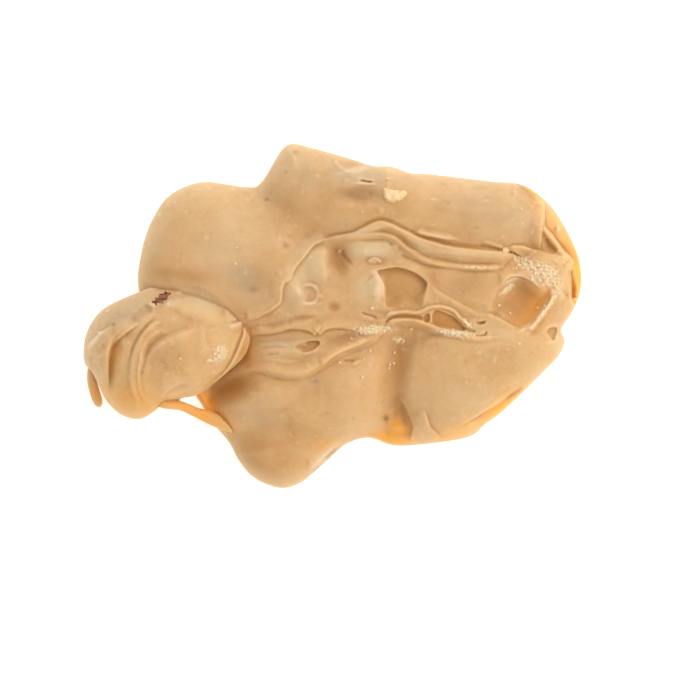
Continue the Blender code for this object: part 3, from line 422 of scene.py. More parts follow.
# Single grains
GRAINS = [
    (1.5, -9.3), (3.9, -4.7), (6.4, -8.7), (7.6, -7), (6, -12.2), (11.4, -9.7), (12.3, -9.5), (11.3, -10.4),
    (12.4, -7.3), (9, -17.6), (13.3, -4.7), (14.3, -4.9), (15.8, -2.5), (37.6, 21.2), (35.3, 0.5),
    (33.2, 2.2), (8, 1.5), (37.3, -5.6), (-30.2, -8.4), (36, 9.2), (36.7, 9.3), (38.6, 11.4), (39.4, 10.8),
    (41, 1.6), (-18.9, 13.6), (-19.2, 10.4),
]

# Paler film and sugar bloom, and painted light on the lip beside the first pit and on the lower right lobe
PALE_AND_LIT_AREAS = patches(
    (8.6, 6.2, 1.9, 2.8, -10), (-6.6, 7.6, 1.6, 4.6, -18), (-4.6, 8.6, 3.8, 6.6, -25, 0.9),
    (6.8, 5.6, 2.6, 3.4, -20, 0.9), (7.6, 13, 4.6, 1.9), (-2, -28.2, 4.4, 0.9, 42, 0.9),
    (-10, -6, 5, 1.8, 6, 0.9), (-26, 3, 6, 2.4, -28, 0.9), (27, -17, 6, 4, 0, 0.5), (-20, 16, 8, 7, 0, 0.5),
    (-16, 2.6, 5, 2.4, -30, 0.4), (31, -3, 7, 2, -6, 0.4),
)

# Greyer where a nut shows under the film, and painted shade on the roll's right, the neck, the peak and the
# dome beside the nut
GREY_AND_SHADE_AREAS = patches(
    (33, 21, 8.5, 5, -4, 0.5), (-6, 27.6, 5, 5.4, 0, 0.4), (-15.4, -20.6, 4.6, 4.2, 0, 0.6),
    (-40.6, 0.6, 7, 2.6, 32, 0.8), (30, 21.6, 9, 3.4, -5, 0.6), (36.6, 19.6, 5, 5, 0, 0.7),
    (-17.5, 7.5, 6, 3.4, -30, 0.9), (36, 19, 4, 3, 0, 0.6), (-26, 3.4, 6, 2.2, -24, 0.6),
    (-6.4, 31, 3, 2.2, -20, 0.6), (5.4, 27.2, 7, 3, -8), (4.8, 24.4, 3.4, 1.6, 0, 0.9),
    (-16, 5, 3, 1.6, -20, 0.5), (-8.6, 3.4, 2.4, 3, 0, 0.5), (-3.2, -13.2, 3, 1.6, 0, 0.35),
    (38, 22, 4, 3, 0, 0.3),
)

# Painted shade: browner where little light comes, on the floors of folds and under the coated nut,
# with some candy that is browner of itself
BROWN_SHADE_AREAS = patches(
    (-19.4, -13.8, 4.8, 2.4, 30), (-38.6, -17.4, 6, 3, -12, 0.5), (36, -15.5, 2.2, 0.5, 37),
    (14.1, -19.2, 1, 3.6, 20, 0.8), (38.8, 24.3, 2.6, 0.8, -43, 1.5), (4, -8.9, 2, 0.7, 24, 0.6),
    (47.6, 6.4, 4.4, 0.9, -86, 0.6), (26, 6.4, 7, 3.4, -4, 0.35), (0.3, 1.7, 1.2, 1, 0, 0.3),
    (-9, -27, 6, 4, 0, 0.3), (-30, 8.2, 6.4, 1.4, -6, 0.6), (-17.2, -8.4, 1.3, 3.4, 12, 0.7),
    (-10.6, -28.4, 7.5, 5.2, 0, 0.5), (13, -9.8, 2.2, 6, -13, 0.7), (14.2, 15.2, 2, 0.7, -38, 0.7),
    (-14, 9, 3, 5, -20, 0.25), (-14.5, -28, 3.6, 4.6, 0, 0.6), (12.8, -17.6, 1.8, 3.4, 0, 0.6),
    (1.4, 11.2, 2.2, 3.6, 8, 0.6), (20, 7.8, 2.6, 2.4, 0, 0.5), (5.4, 24.4, 4, 1.8, 0, 0.45),
    (4, 30.4, 2.2, 0.8, 0, 0.5), (38, 3.6, 2.4, 3, 20, 0.7), (43.4, 14.4, 3, 1, -52, 0.3),
    (-7.6, 22.4, 7.5, 2.6, -40, 0.4), (-43.7, -9.8, 5.4, 0.7, 86, 0.8), (-31.4, -7.4, 4.4, 2.6, 28, 0.3),
    (-29, 7.2, 4.6, 1.4, -6, 0.4), (20.6, 15.1, 3, 0.4, -12, 0.6), (2, -5, 2.6, 0.8, 8, 0.5),
    (10.8, -20.4, 0.6, 0.7, 0, 1.2), (-33.6, 3.7, 2.8, 1.5, 36, 0.7), (33.2, 6.2, 0.6, 0.5, 0, 0.5),
    (40.2, -3.4, 0.7, 0.5, 0, 0.5), (9.4, 18.9, 4, 0.5, 6, 0.3),
)

# Painted glow: where thin candy lets orange light through
GLOW_AREAS = patches(
    (45.6, 17.6, 9.5, 2.8, -58, 0.65), (49, 7, 7.5, 2, -86), (40.4, 1.6, 4.4, 2, 54, 0.8),
    (22.6, -1.2, 3.2, 1.4, -22, 0.3), (25.6, -23.2, 6, 1.7, 20, 0.9), (33.4, -18.4, 6.4, 1.5, 39, 1.4),
    (12.4, -24.4, 4, 1.8, 0, 1.2), (13.4, -22.4, 2.2, 2.6, 16, 1.2), (39.8, 24.4, 3.6, 1.2, -43, 1.5),
    (-39.4, -17.4, 6.6, 2.8, -20, 1.3), (-43, -9, 4.6, 1, 84, 0.6), (-47.4, -15.8, 1.6, 2.6, 0, 0.5),
    (-26, -19.6, 9, 2.2, -22, 0.7), (-25.6, -17.6, 2, 2.2, 0, 1.6), (-1, -25.6, 3, 0.9, 20, 0.4),
    (-16.4, -6.6, 1, 1.4, 0, 0.4), (-23.7, -4.6, 0.8, 1, 0, 0.4),
)

# Whitish films and rims, and painted highlight along the rope's crests
FROST_AND_HIGHLIGHT_AREAS = patches(
    (27, 12.5, 9, 0.6, -4, 0.4), (7.6, 17.2, 5, 0.5, 16, 0.35), (17.4, 14.7, 3.6, 0.5, -28, 0.4),
    (-47.4, -5, 2.4, 0.5, 45, 0.6), (-19, -1.5, 1.6, 0.4, 14, 0.6), (20.4, 16, 3.6, 0.3, -10, 0.5),
    (41.9, 0.9, 3.8, 0.6, 54, 0.8), (7.6, 13.2, 4.2, 1.5, 0, 0.35), (-32, 2.4, 1.6, 0.6, 30, 0.35),
    (9.4, 5.2, 0.8, 2.6, -8), (8.9, 7.9, 1.5, 0.5, -58), (-6.6, 5, 0.5, 1, 20, 0.5),
    (-4.4, 2.5, 2, 0.4, 0, 0.5), (36, 7.4, 2.6, 0.5, 28, 0.6), (41.4, -0.4, 3.6, 0.35, 52),
    (44.2, 4.6, 1.6, 0.5, 66, 0.9), (38.8, -2.2, 1.8, 0.4, 34, 0.9), (6.4, 26.3, 2.2, 0.3, -4, 0.5),
    (4.4, 29, 3, 0.5, 10, 0.4), (-1.4, -28, 3.4, 0.45, 43, 0.6), (11.6, 0.6, 1.4, 0.3, 10, 0.5),
)

# Small dark spots and pores; the wide faint one round the pecan's hole is painted shade
FRECKLES = patches(
    (-2.7, -30.3, 1.6, 0.45, 46, 1.2), (-0.4, -27.9, 2.2, 0.5, 44, 1.2), (-34, 3.6, 2.6, 1.4, 35, 0.4),
    (-13, 23.2, 0.5, 0.4, 0, 0.7), (-9.2, 13.9, 0.6, 0.45, 0, 0.7), (-15.8, 5.2, 0.9, 0.7, 30, 0.6),
    (-7.3, 32.6, 0.7, 0.5, 0, 0.5), (-9.2, 28.7, 0.5, 0.4, 0, 0.4), (22.8, 22.6, 0.6, 0.4, 0, 0.5),
    (29, 17.6, 0.3, 0.25, 0, 0.8), (31, 23.6, 0.5, 0.2, 20, 0.4), (-3.2, -13, 0.5, 0.4, 0, 0.7),
    (-0.8, -19.4, 0.4, 0.3, 0, 0.5), (4.2, -20.4, 0.4, 0.3, 0, 0.4), (10.8, -20.4, 0.45, 0.4, 0, 0.6),
    (-43.5, -1.7, 0.35, 0.3, 0, 0.9), (-30.2, -8.3, 0.4, 0.25, 0, 0.6), (-37.7, -11.2, 0.35, 0.25, 90, 0.5),
)

# Flakes of sugar: place, outline round it, thickness and turn
Flake = namedtuple("Flake", "at outline height turn", defaults=(0.0,))
LARGE_FLAKE = [
    (-2, 1.4), (-1, 1.1), (-0.4, 0.95), (1, 0.8), (2.3, 0.7), (2.5, 0.1), (1.8, -0.6), (1.2, -1.1),
    (0.7, -1.3), (0.4, -1.2), (0, -1.6), (-0.5, -1.5), (-1.2, -1.3), (-1.8, -1), (-2.1, -0.1), (-2.25, 0.7),
]
CHIP = [(-0.3, 0.3), (0.3, 0.2), (0.2, -0.3), (-0.2, -0.2)]
SMALL_FLAKE = [(-0.6, 0.4), (0.5, 0.5), (0.6, -0.3), (-0.5, -0.5)]
GRAIN = [(-0.3, 0.1), (0.05, 0.25), (0.3, 0), (0, -0.22)]
SUGAR_FLAKES = [
    Flake((12.4, 24.0), LARGE_FLAKE, 0.8),
    Flake((11.0, 27.0), CHIP, 0.5),
    Flake((44.8, 17.2), SMALL_FLAKE, 0.6, 80.0),
    Flake((34.5, 13.2), SMALL_FLAKE, 0.6, -10.0),
]
GRAIN_HEIGHT = 0.35
FLAKE_RINGS = ((-0.5, 1.0), (0.55, 1.0), (1.0, 0.86))     # level and size of a flake's rings, as shares
FLAKE_CROWN = 1.05        # level of its top's middle
FLAKE_JOG = 0.05          # how uneven its corners are

# The pecan's wrinkles: how closely the long ones lie, how far and how often they bend, and the cross ones
PECAN_RIDGES = 5.0
PECAN_BEND = 1.6
PECAN_BENDS = 2.6
CROSS_ALONG = 13.0
CROSS_ACROSS = 4.0
CROSS_SHARE = 0.3

# --- Heights ----------------------------------------------------------------------------------------------

def smooth_path(points, closed=False, steps=6):
    """A smooth line through the points (a Catmull-Rom curve)."""
    points = np.asarray(points, float)
    if closed:
        points = np.vstack([points[-1:], points, points[:2]])
    else:
        points = np.vstack([points[:1], points, points[-1:]])
    line = []
    for before, start, end, after in zip(points, points[1:], points[2:], points[3:]):
        for t in np.arange(steps) / steps:
            line.append(0.5 * (2 * start + (end - before) * t
                               + (2 * before - 5 * start + 4 * end - after) * t * t
                               + (3 * start - before - 3 * end + after) * t ** 3))
    line.append(points[-2])
    return np.array(line)


def nearest_on(path, x, y):
    """Distance from each point to the path, positive on its left, and the share of the path passed."""
    starts = path[:-1]
    runs = path[1:] - path[:-1]
    lengths = np.maximum(np.hypot(runs[:, 0], runs[:, 1]), 1e-9)
    before = np.concatenate([[0.0], np.cumsum(lengths)])
    best = np.full(x.shape, 1e9)
    side = np.ones(x.shape)
    share = np.zeros(x.shape)
    for (x0, y0), (dx, dy), length, done in zip(starts, runs, lengths, before):
        along = np.clip(((x - x0) * dx + (y - y0) * dy) / length ** 2, 0.0, 1.0)
        square = (x - x0 - along * dx) ** 2 + (y - y0 - along * dy) ** 2
        closer = square < best
        best = np.where(closer, square, best)
        side = np.where(closer, np.where(dx * (y - y0) >= dy * (x - x0), 1.0, -1.0), side)
        share = np.where(closer, (done + along * length) / before[-1], share)
    return np.sqrt(best) * side, share


def ease(t):
    t = np.clip(t, 0.0, 1.0)
    return t * t * (3.0 - 2.0 * t)


def soft_max(a, b, blend):
    """The larger of two heights, with a fillet of about the given size where they cross."""
    near = np.maximum(blend - np.abs(a - b), 0.0) / blend
    return np.maximum(a, b) + near * near * blend / 4


def lobe_top(lobe, x, y):
    turn = np.radians(lobe.turn)
    dx = x - lobe.centre[0]
    dy = y - lobe.centre[1]
    along = (np.cos(turn) * dx + np.sin(turn) * dy) / lobe.half_size[0]
    across = (np.cos(turn) * dy - np.sin(turn) * dx) / lobe.half_size[1]
    return lobe.top - lobe.fall * (along ** 2 + across ** 2) ** LOBE_SQUARENESS


def close_to(path, reach, x, y):
    """The indices of the points within reach of the path's box."""
    low = path.min(axis=0) - reach
    high = path.max(axis=0) + reach
    return np.flatnonzero((x > low[0]) & (x < high[0]) & (y > low[1]) & (y < high[1]))


def add_fold(height, fold, x, y):
    path = smooth_path(fold.points)
    near = close_to(path, max(fold.left, fold.right), x, y)
    distance, share = nearest_on(path, x[near], y[near])
    taper = np.minimum(ease(share / fold.ends[0]), ease((1.0 - share) / fold.ends[1]))
    across = np.where(distance >= 0.0, distance / fold.left, -distance / fold.right)
    across = across / (FOLD_END + (1.0 - FOLD_END) * taper)
    shape = np.clip(1.0 - across ** 2, 0.0, 1.0) ** fold.sharp
    height[near] += fold.lift * shape * taper


def add_pit(height, pit, x, y):
    """Sinks a closed area. Its wall is wider, and so softer, towards one side, given as a direction."""
    edge = smooth_path(pit.points, closed=True, steps=4)
    near = close_to(edge, 3.0 * LIP_WIDTH, x, y)
    x = x[near]
    y = y[near]
    distance, _ = nearest_on(edge, x, y)
    inward = np.where(lies_inside(edge, x, y), np.abs(distance), -np.abs(distance))
    middle = edge.mean(axis=0)
    dx = x - middle[0]
    dy = y - middle[1]
    turn = np.radians(pit.soft_side)
    towards = np.clip((dx * np.cos(turn) + dy * np.sin(turn)) / (np.hypot(dx, dy) + 1e-6), 0.0, 1.0) ** 2
    wall = pit.wall + pit.soft_wall * towards
    lip = pit.lip * np.exp(-(inward / LIP_WIDTH + LIP_OUT) ** 2)
    height[near] += lip - pit.depth * ease(inward / wall + WALL_START)


def lies_inside(edge, x, y):
    """Whether each point is inside: a line to its right then crosses the edge an odd number of times."""
    inside = np.zeros(x.shape, bool)
    for (x0, y0), (x1, y1) in zip(edge, edge[1:]):
        spans = (y0 > y) != (y1 > y)
        inside ^= spans & (x < x0 + (y - y0) * (x1 - x0) / (y1 - y0 if y1 != y0 else 1.0))
    return inside


def wave(length, heading, start, x, y):
    return np.sin(2 * np.pi / length * (x * np.cos(heading) + y * np.sin(heading)) + start)


def swell(x, y):
    """The slow unevenness of candy that set while it flowed: waves in all directions, long ones higher."""
    random = np.random.default_rng(3)
    height = np.zeros(x.shape)
    for _ in range(SWELL_WAVES):
        length = random.uniform(*SWELL_LENGTHS)
        heading = random.uniform(0.0, np.pi)
        start = random.uniform(0.0, 2 * np.pi)
        height += length / SWELL_LENGTHS[1] * wave(length, heading, start, x, y)
    return SWELL * height / np.sqrt(0.25 * SWELL_WAVES)


def add_dent(height, dent, x, y):
    reach = DENT_REACH * max(dent.half_size)
    near = np.flatnonzero((np.abs(x - dent.centre[0]) < reach) & (np.abs(y - dent.centre[1]) < reach))
    height[near] += dent.amount * patch_share([dent._replace(amount=1.0)], x[near], y[near], DENT_EDGE)


def scattered(strewn):
    """Small patches strewn between two corners, with sizes and amounts between the given limits."""
    random = np.random.default_rng(strewn.seed)
    found = []
    for _ in range(strewn.count):
        centre = random.uniform(*strewn.corners)
        size = random.uniform(*strewn.sizes)
        half_size = (size, size * random.uniform(0.6, 1.0))
        found.append(Patch(centre, half_size, random.uniform(0.0, 180.0), random.uniform(*strewn.amounts)))
    return found


def ring_fold():
    angles = np.radians(np.linspace(-RING_HALF_TURN, RING_HALF_TURN, 12))
    x, y = RING_CENTRE
    points = [(x + RING_RADIUS * np.cos(angle), y + RING_RADIUS * np.sin(angle)) for angle in angles]
    return Fold(points, RING_LIFT, RING_REACH, RING_REACH, (0.1, 0.2), 0.9)


def body_height(x, y):
    height = np.full(x.shape, POOL_TOP)
    for lobe in BODY_LOBES.values():
        height = soft_max(height, lobe_top(lobe, x, y), lobe.blend)
    for fold in [*BODY_FOLDS.values(), *FINE_BODY_FOLDS.values(), ring_fold()]:
        add_fold(height, fold, x, y)
    for pit in [*BODY_PITS.values(), *FINE_BODY_PITS.values()]:
        add_pit(height, pit, x, y)
    for dent in [*BODY_DENTS, *scattered(PIMPLES)]:
        add_dent(height, dent, x, y)
    height += swell(x, y)
    return height, RIM_MID * height


def nut_height(x, y):
    """The nut leans on the dome, so its rim rises from the table's side to the dome's side."""
    height = lobe_top(NUT_LOBE, x, y)
    for fold in [*NUT_FOLDS.values(), *FINE_NUT_FOLDS.values()]:
        add_fold(height, fold, x, y)
    uphill = ease(0.5 + (0.6 * (x - NUT_LOBE.centre[0]) + 0.8 * (y - NUT_LOBE.centre[1])) / NUT_LEAN_RUN)
    middle = np.minimum(RIM_MID * height + NUT_LEAN * uphill, NUT_RIM_LIMIT * height)
    for pit in FINE_NUT_PITS.values():
        add_pit(height, pit, x, y)
    for dent in scattered(NUT_PIMPLES):
        add_dent(height, dent, x, y)
    height += NUT_SWELL * swell(x + NUT_SWELL_OFFSET, y)
    return height, middle


# --- Meshes -----------------------------------------------------------------------------------------------

def plain_mesh(item):
    """Turns an object, as its modifiers leave it, into a new object with a plain mesh."""
    graph = bpy.context.evaluated_depsgraph_get()
    graph.update()
    mesh = bpy.data.meshes.new_from_object(item.evaluated_get(graph))
    mesh.transform(item.matrix_world)
    name = item.name
    bpy.data.objects.remove(item, do_unlink=True)
    mesh.name = name
    return new_object(name, mesh)


def new_object(name, data):
    item = bpy.data.objects.new(name, data)
    bpy.context.scene.collection.objects.link(item)
    return item


def shaped_object(name, shape):
    """A new object with the mesh that was being shaped."""
    mesh = bpy.data.meshes.new(name)
    shape.to_mesh(mesh)
    shape.free()
    return new_object(name, mesh)


def read_points(mesh):
    points = np.empty(len(mesh.vertices) * 3)
    mesh.vertices.foreach_get("co", points)
    return points.reshape(-1, 3) / MM


def write_points(mesh, points):
    mesh.vertices.foreach_set("co", (points * MM).ravel())
    mesh.update()


def flat_slab(name, outline, grid):
    """The outline as a flat slab, remeshed to an even grid."""
    curve = bpy.data.curves.new(name, "CURVE")
    curve.dimensions = "2D"
    curve.fill_mode = "BOTH"
    curve.extrude = 0.5 * SLAB * MM
    path = smooth_path(outline, closed=True)[:-1] * MM
    line = curve.splines.new("POLY")
    line.points.add(len(path) - 1)
    for point, (x, y) in zip(line.points, path):
        point.co = (x, y, 0.0, 1.0)
    line.use_cyclic_u = True
    slab = plain_mesh(new_object(name, curve))
    remesh = slab.modifiers.new("grid", "REMESH")
    remesh.mode = "VOXEL"
    remesh.voxel_size = grid
    return plain_mesh(slab)


def shell(outline, height_of, sole, x, y):
    """Heights of the upper and the lower face of a part whose rim is rounded over and under."""
    inward = np.abs(nearest_on(smooth_path(outline, closed=True), x, y)[0])
    top, middle = height_of(x, y)
    over = np.clip(inward / np.maximum(RIM_TOP * top, 0.6), 0.0, 1.0)
    under = np.clip(inward / np.maximum(RIM_UNDER * top, 0.5), 0.0, 1.0)
    upper = middle + (top - middle) * np.sqrt(1.0 - (1.0 - over) ** 2)
    lower = sole + (middle - sole) * (1.0 - np.sqrt(1.0 - (1.0 - under) ** 2))
    return upper, lower


def lift_slab(slab, outline, height_of, sole):
    points = read_points(slab.data)
    x, y, level = points.T
    upper, lower = shell(outline, height_of, sole, x, y)
    points[:, 2] = lower + (upper - lower) * (level / SLAB + 0.5)
    write_points(slab.data, points)


def sharpen(mesh):
    """Puts back the folds' edges that growing together blurred, and roughens the sugar."""
    points = read_points(mesh)
    facing = np.flatnonzero(normals_of(mesh)[:, 2] > FACING_UP)
    x, y, z = points[facing].T
    best = z.copy()
    offset = np.full(z.shape, SNAP)
    for outline, height_of in ((BODY_OUTLINE, body_height), (NUT_OUTLINE, nut_height)):
        inside = np.flatnonzero(lies_inside(smooth_path(outline, closed=True), x, y))
        upper = shell(outline, height_of, 0.0, x[inside], y[inside])[0]
        off = np.abs(upper - z[inside])
        nearer = off < offset[inside]
        best[inside[nearer]] = upper[nearer]
        offset[inside[nearer]] = off[nearer]
    random = np.random.default_rng(5)
    grain = random.normal(*CRUST_GRAIN, x.shape)
    for _ in range(CRUST_WAVES):
        length = random.uniform(*CRUST_LENGTHS)
        heading = random.uniform(0.0, np.pi)
        grain += CRUST_WAVE * wave(length, heading, 0.0, x, y)
    crust = CRUST * np.clip(2.0 * patch_share(SUGAR_PATCHES, x, y, SPOT_EDGE), 0.0, 1.0)
    points[facing, 2] = best + crust * grain
    write_points(mesh, points)


def thread(name, stations):
    """A thread of candy with a round section that thins towards its end."""
    curve = bpy.data.curves.new(name, "CURVE")
    curve.dimensions = "3D"
    curve.bevel_depth = MM
    curve.bevel_resolution = 6
    curve.use_fill_caps = True
    path = smooth_path(stations)
    line = curve.splines.new("POLY")
    line.points.add(len(path) - 1)
    for point, (x, y, z, radius) in zip(line.points, path):
        point.co = (x * MM, y * MM, z * MM, 1.0)
        point.radius = radius
    return plain_mesh(new_object(name, curve))


def join(name, items):
    """One object with the meshes of all items, which are removed."""
    shape = bmesh.new()
    for item in items:
        shape.from_mesh(item.data)
        bpy.data.objects.remove(item, do_unlink=True)
    return shaped_object(name, shape)


def pressed_flat(mesh):
    """The mesh's points, with what lies under the table pressed up to it."""
    points = read_points(mesh)
    points[:, 2] = np.maximum(points[:, 2], 0.0)
    return points


def fused_candy(settings):
    """Body, coated nut and threads as one closed mesh that stands where the candy's solid stands."""
    parts = []
    for name, outline, height_of in (("body", BODY_OUTLINE, body_height), ("nut", NUT_OUTLINE, nut_height)):
        slab = flat_slab(name, outline, settings.slab_grid)
        lift_slab(slab, outline, height_of, -SOLE_SINK)
        parts.append(slab)
    candy = join("candy_body", [*parts, thread("strand", STRAND), thread("drip", DRIP)])
    fuse = candy.modifiers.new("fuse", "REMESH")
    fuse.mode = "VOXEL"
    fuse.voxel_size = settings.fuse_grid
    candy = plain_mesh(candy)
    sharpen(candy.data)
    points = pressed_flat(candy.data)
    low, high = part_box("candy")
    shift = 0.5 * (points.min(axis=0) + points.max(axis=0)) - (low + high) / 2 / MM
    shift[2] = 0.0
    write_points(candy.data, points - shift)
    thin = candy.modifiers.new("thin", "DECIMATE")
    thin.ratio = settings.triangles / (2.0 * len(candy.data.polygons))
    candy = plain_mesh(candy)
    write_points(candy.data, pressed_flat(candy.data))
    return candy, shift[:2]


def edge_pairs(mesh):
    pairs = np.empty(len(mesh.edges) * 2, np.int32)
    mesh.edges.foreach_get("vertices", pairs)
    return pairs.reshape(-1, 2).T


def smoothed(values, pairs, rounds):
    """The values after each has moved halfway to the mean of its neighbours, a number of times."""
    first, second = pairs
    count = len(values)
    degree = np.bincount(first, minlength=count) + np.bincount(second, minlength=count)
    for _ in range(rounds):
        for column in range(values.shape[1]):
            held = values[:, column]
            total = np.bincount(first, held[second], count) + np.bincount(second, held[first], count)
            values[:, column] = 0.5 * held + 0.5 * total / degree
    return values


def normals_of(mesh):
    normals = np.empty(len(mesh.vertices) * 3)
    mesh.vertex_normals.foreach_get("vector", normals)
    return normals.reshape(-1, 3)


def patch_share(areas, x, y, crisp=1.0):
    """How much of any patch lies at each point, from 0 to 1. A crisper patch has a harder edge."""
    share = np.zeros(x.shape)
    for patch in areas:
        turn = np.radians(patch.turn)
        dx = x - patch.centre[0]
        dy = y - patch.centre[1]
        along = (np.cos(turn) * dx + np.sin(turn) * dy) / patch.half_size[0]
        across = (np.cos(turn) * dy - np.sin(turn) * dx) / patch.half_size[1]
        share = np.maximum(share, patch.amount * np.exp(-(along ** 2 + across ** 2) ** crisp))
    return share


def store(mesh, name, values):
    attribute = mesh.attributes.new(name, "FLOAT", "POINT")
    attribute.data.foreach_set("value", values.astype(np.float32))


def thickness(mesh, points, normals, limit):
    """How much candy lies straight under or over each point of the surface, in millimetres."""
    tree = BVHTree.FromPolygons(
        [Vector(point) for point in points], [tuple(face.vertices) for face in mesh.polygons])
    depth = np.full(len(points), limit)
    for index, (point, normal) in enumerate(zip(points, normals)):
        inward = Vector((0.0, 0.0, -1.0 if normal[2] > 0.0 else 1.0))
        _, _, _, distance = tree.ray_cast(Vector(point) + inward * 0.05, inward, limit)
        if distance is not None:
            depth[index] = distance
    return depth


def mark_candy(candy, shift):
    """Stores what the candy's finish reads: hollows and creases for painted shade, crests for painted
    highlight, thin rims for painted glow, and areas of colour, some of them painted shade and light.
    """
    mesh = candy.data
    points = read_points(mesh)
    normals = normals_of(mesh)
    pairs = edge_pairs(mesh)
    fine = smoothed(points.copy(), pairs, FINE_ROUNDS)
    broad = smoothed(fine.copy(), pairs, BROAD_ROUNDS)
    relief = np.einsum("ij,ij->i", points - broad, normals)
    line = np.einsum("ij,ij->i", points - fine, normals)
    relief, line = smoothed(np.column_stack([relief, line]), pairs, 2).T
    depth = thickness(mesh, points, normals, MOST_DEPTH)
    depth = smoothed(depth[:, None], pairs, 8)[:, 0]
    x = points[:, 0] + shift[0]
    y = points[:, 1] + shift[1]
    # The floors of pits, which the finish paints with shade
    floor = np.zeros(x.shape)
    for name, pit in {**BODY_PITS, **FINE_BODY_PITS}.items():
        if name != "flange":
            floor[lies_inside(smooth_path(pit.points, closed=True, steps=4), x, y)] = 1.0
    floor[normals[:, 2] < 0.0] = 0.0
    store(mesh, "pit", smoothed(floor[:, None], pairs, 2)[:, 0])
    upward = ease(normals[:, 2] / FLANK)
    # Painted shade: browner patches, kept off faces that look down
    store(mesh, "brown_shade", patch_share(BROWN_SHADE_AREAS, x, y) * ease(normals[:, 2] / WALL))
    store(mesh, "glow", patch_share(GLOW_AREAS, x, y) * upward)
    # Painted shade: browner colour in the hollows of the form
    store(mesh, "hollow_shade", 1.0 - np.exp(np.minimum(relief, 0.0) / FULL_RELIEF))
    # Painted highlight: paler colour on the crests of the form
    store(mesh, "crest", 1.0 - np.exp(-np.maximum(relief, 0.0) / FULL_RELIEF))
    # Fine lines: the finish paints shade into those below 0 and highlight onto those above 0
    store(mesh, "line", np.clip(line / FULL_LINE, -1.0, 1.0))
    store(mesh, "thin", np.exp(-depth / LIGHT_DEPTH))
    # Pale film, and painted light
    store(mesh, "pale", patch_share(PALE_AND_LIT_AREAS, x, y))
    # Grey where a nut shows through, and painted shade
    store(mesh, "grey_and_shade", patch_share(GREY_AND_SHADE_AREAS, x, y))
    spots = {
        # whitish films, and painted highlight along the rope
        "frost_and_highlight": [*FROST_AND_HIGHLIGHT_AREAS, *scattered(CRYSTALS)],
        "freckle": [*FRECKLES, *scattered(PORES)],
        "sugar": SUGAR_PATCHES,
    }
    for name, areas in spots.items():
        store(mesh, name, patch_share(areas, x, y, SPOT_EDGE) * upward)


# --- Shaders ----------------------------------------------------------------------------------------------

class Value:
    """A number or colour that a node gives. Arithmetic on numbers adds Math nodes."""

    def __init__(self, finish, socket):
        self.finish = finish
        self.socket = socket

    def math(self, operation, first, second):
        return self.finish.node("ShaderNodeMath", {"operation": operation}, {0: first, 1: second})

    def __add__(self, other):
        return self.math("ADD", self, other)

    def __radd__(self, other):
        return self.math("ADD", other, self)

    def __sub__(self, other):
        return self.math("SUBTRACT", self, other)

    def __rsub__(self, other):
        return self.math("SUBTRACT", other, self)

    def __mul__(self, other):
        return self.math("MULTIPLY", self, other)

    def __rmul__(self, other):
        return self.math("MULTIPLY", other, self)


class Finish:
    """A material being made: its Principled shader and the nodes that feed it."""

    MIX_SHARE, MIX_FIRST, MIX_SECOND, MIX_RESULT = 0, 6, 7, 2

    def __init__(self, name, constants):
        self.material = bpy.data.materials.new(name)
        self.material.use_nodes = True
        self.tree = self.material.node_tree
        self.shader = self.tree.nodes["Principled BSDF"]
        self.feed(constants)

    def node(self, kind, settings, inputs, output=0):
        """Any node: its type, its settings, then the values or links of its sockets."""
        made = self.tree.nodes.new(kind)
        for name, value in settings.items():
            setattr(made, name, value)
        for name, value in inputs.items():
            self.connect(value, made.inputs[name])
        return Value(self, made.outputs[output])

    def connect(self, value, socket):
        if isinstance(value, Value):
            self.tree.links.new(value.socket, socket)
        else:
            socket.default_value = value

    def feed(self, inputs):
        for name, value in inputs.items():
            self.connect(value, self.shader.inputs[name])

    def attribute(self, name):
        return self.node("ShaderNodeAttribute", {"attribute_name": name}, {}, "Fac")

    def place(self):
        return self.node("ShaderNodeTexCoord", {}, {}, "Object")

    def noise(self, size, detail=2.0, roughness=0.5, distortion=0.0):
        """Noise from 0 to 1 whose blotches are about the given size, in metres."""
        return self.node("ShaderNodeTexNoise", {}, {
            "Vector": self.place(), "Scale": 1.0 / size, "Detail": detail, "Roughness": roughness,
            "Distortion": distortion})

    def mix(self, share, first, second):
        return self.node("ShaderNodeMix", {"data_type": "RGBA"}, {
            self.MIX_SHARE: share, self.MIX_FIRST: first, self.MIX_SECOND: second}, self.MIX_RESULT)

    def layers(self, colour, *layers):
        """The colour under further ones, each with its share, which the Mix node keeps from 0 to 1."""
        for share, cover in layers:
            colour = self.mix(share, colour, rgba(cover))
        return colour

    def bump(self, height, distance=0.2 * MM):
        return self.node("ShaderNodeBump", {}, {"Height": height, "Distance": distance, "Strength": 0.8})


def rgba(colour):
    return (*colour, 1.0)


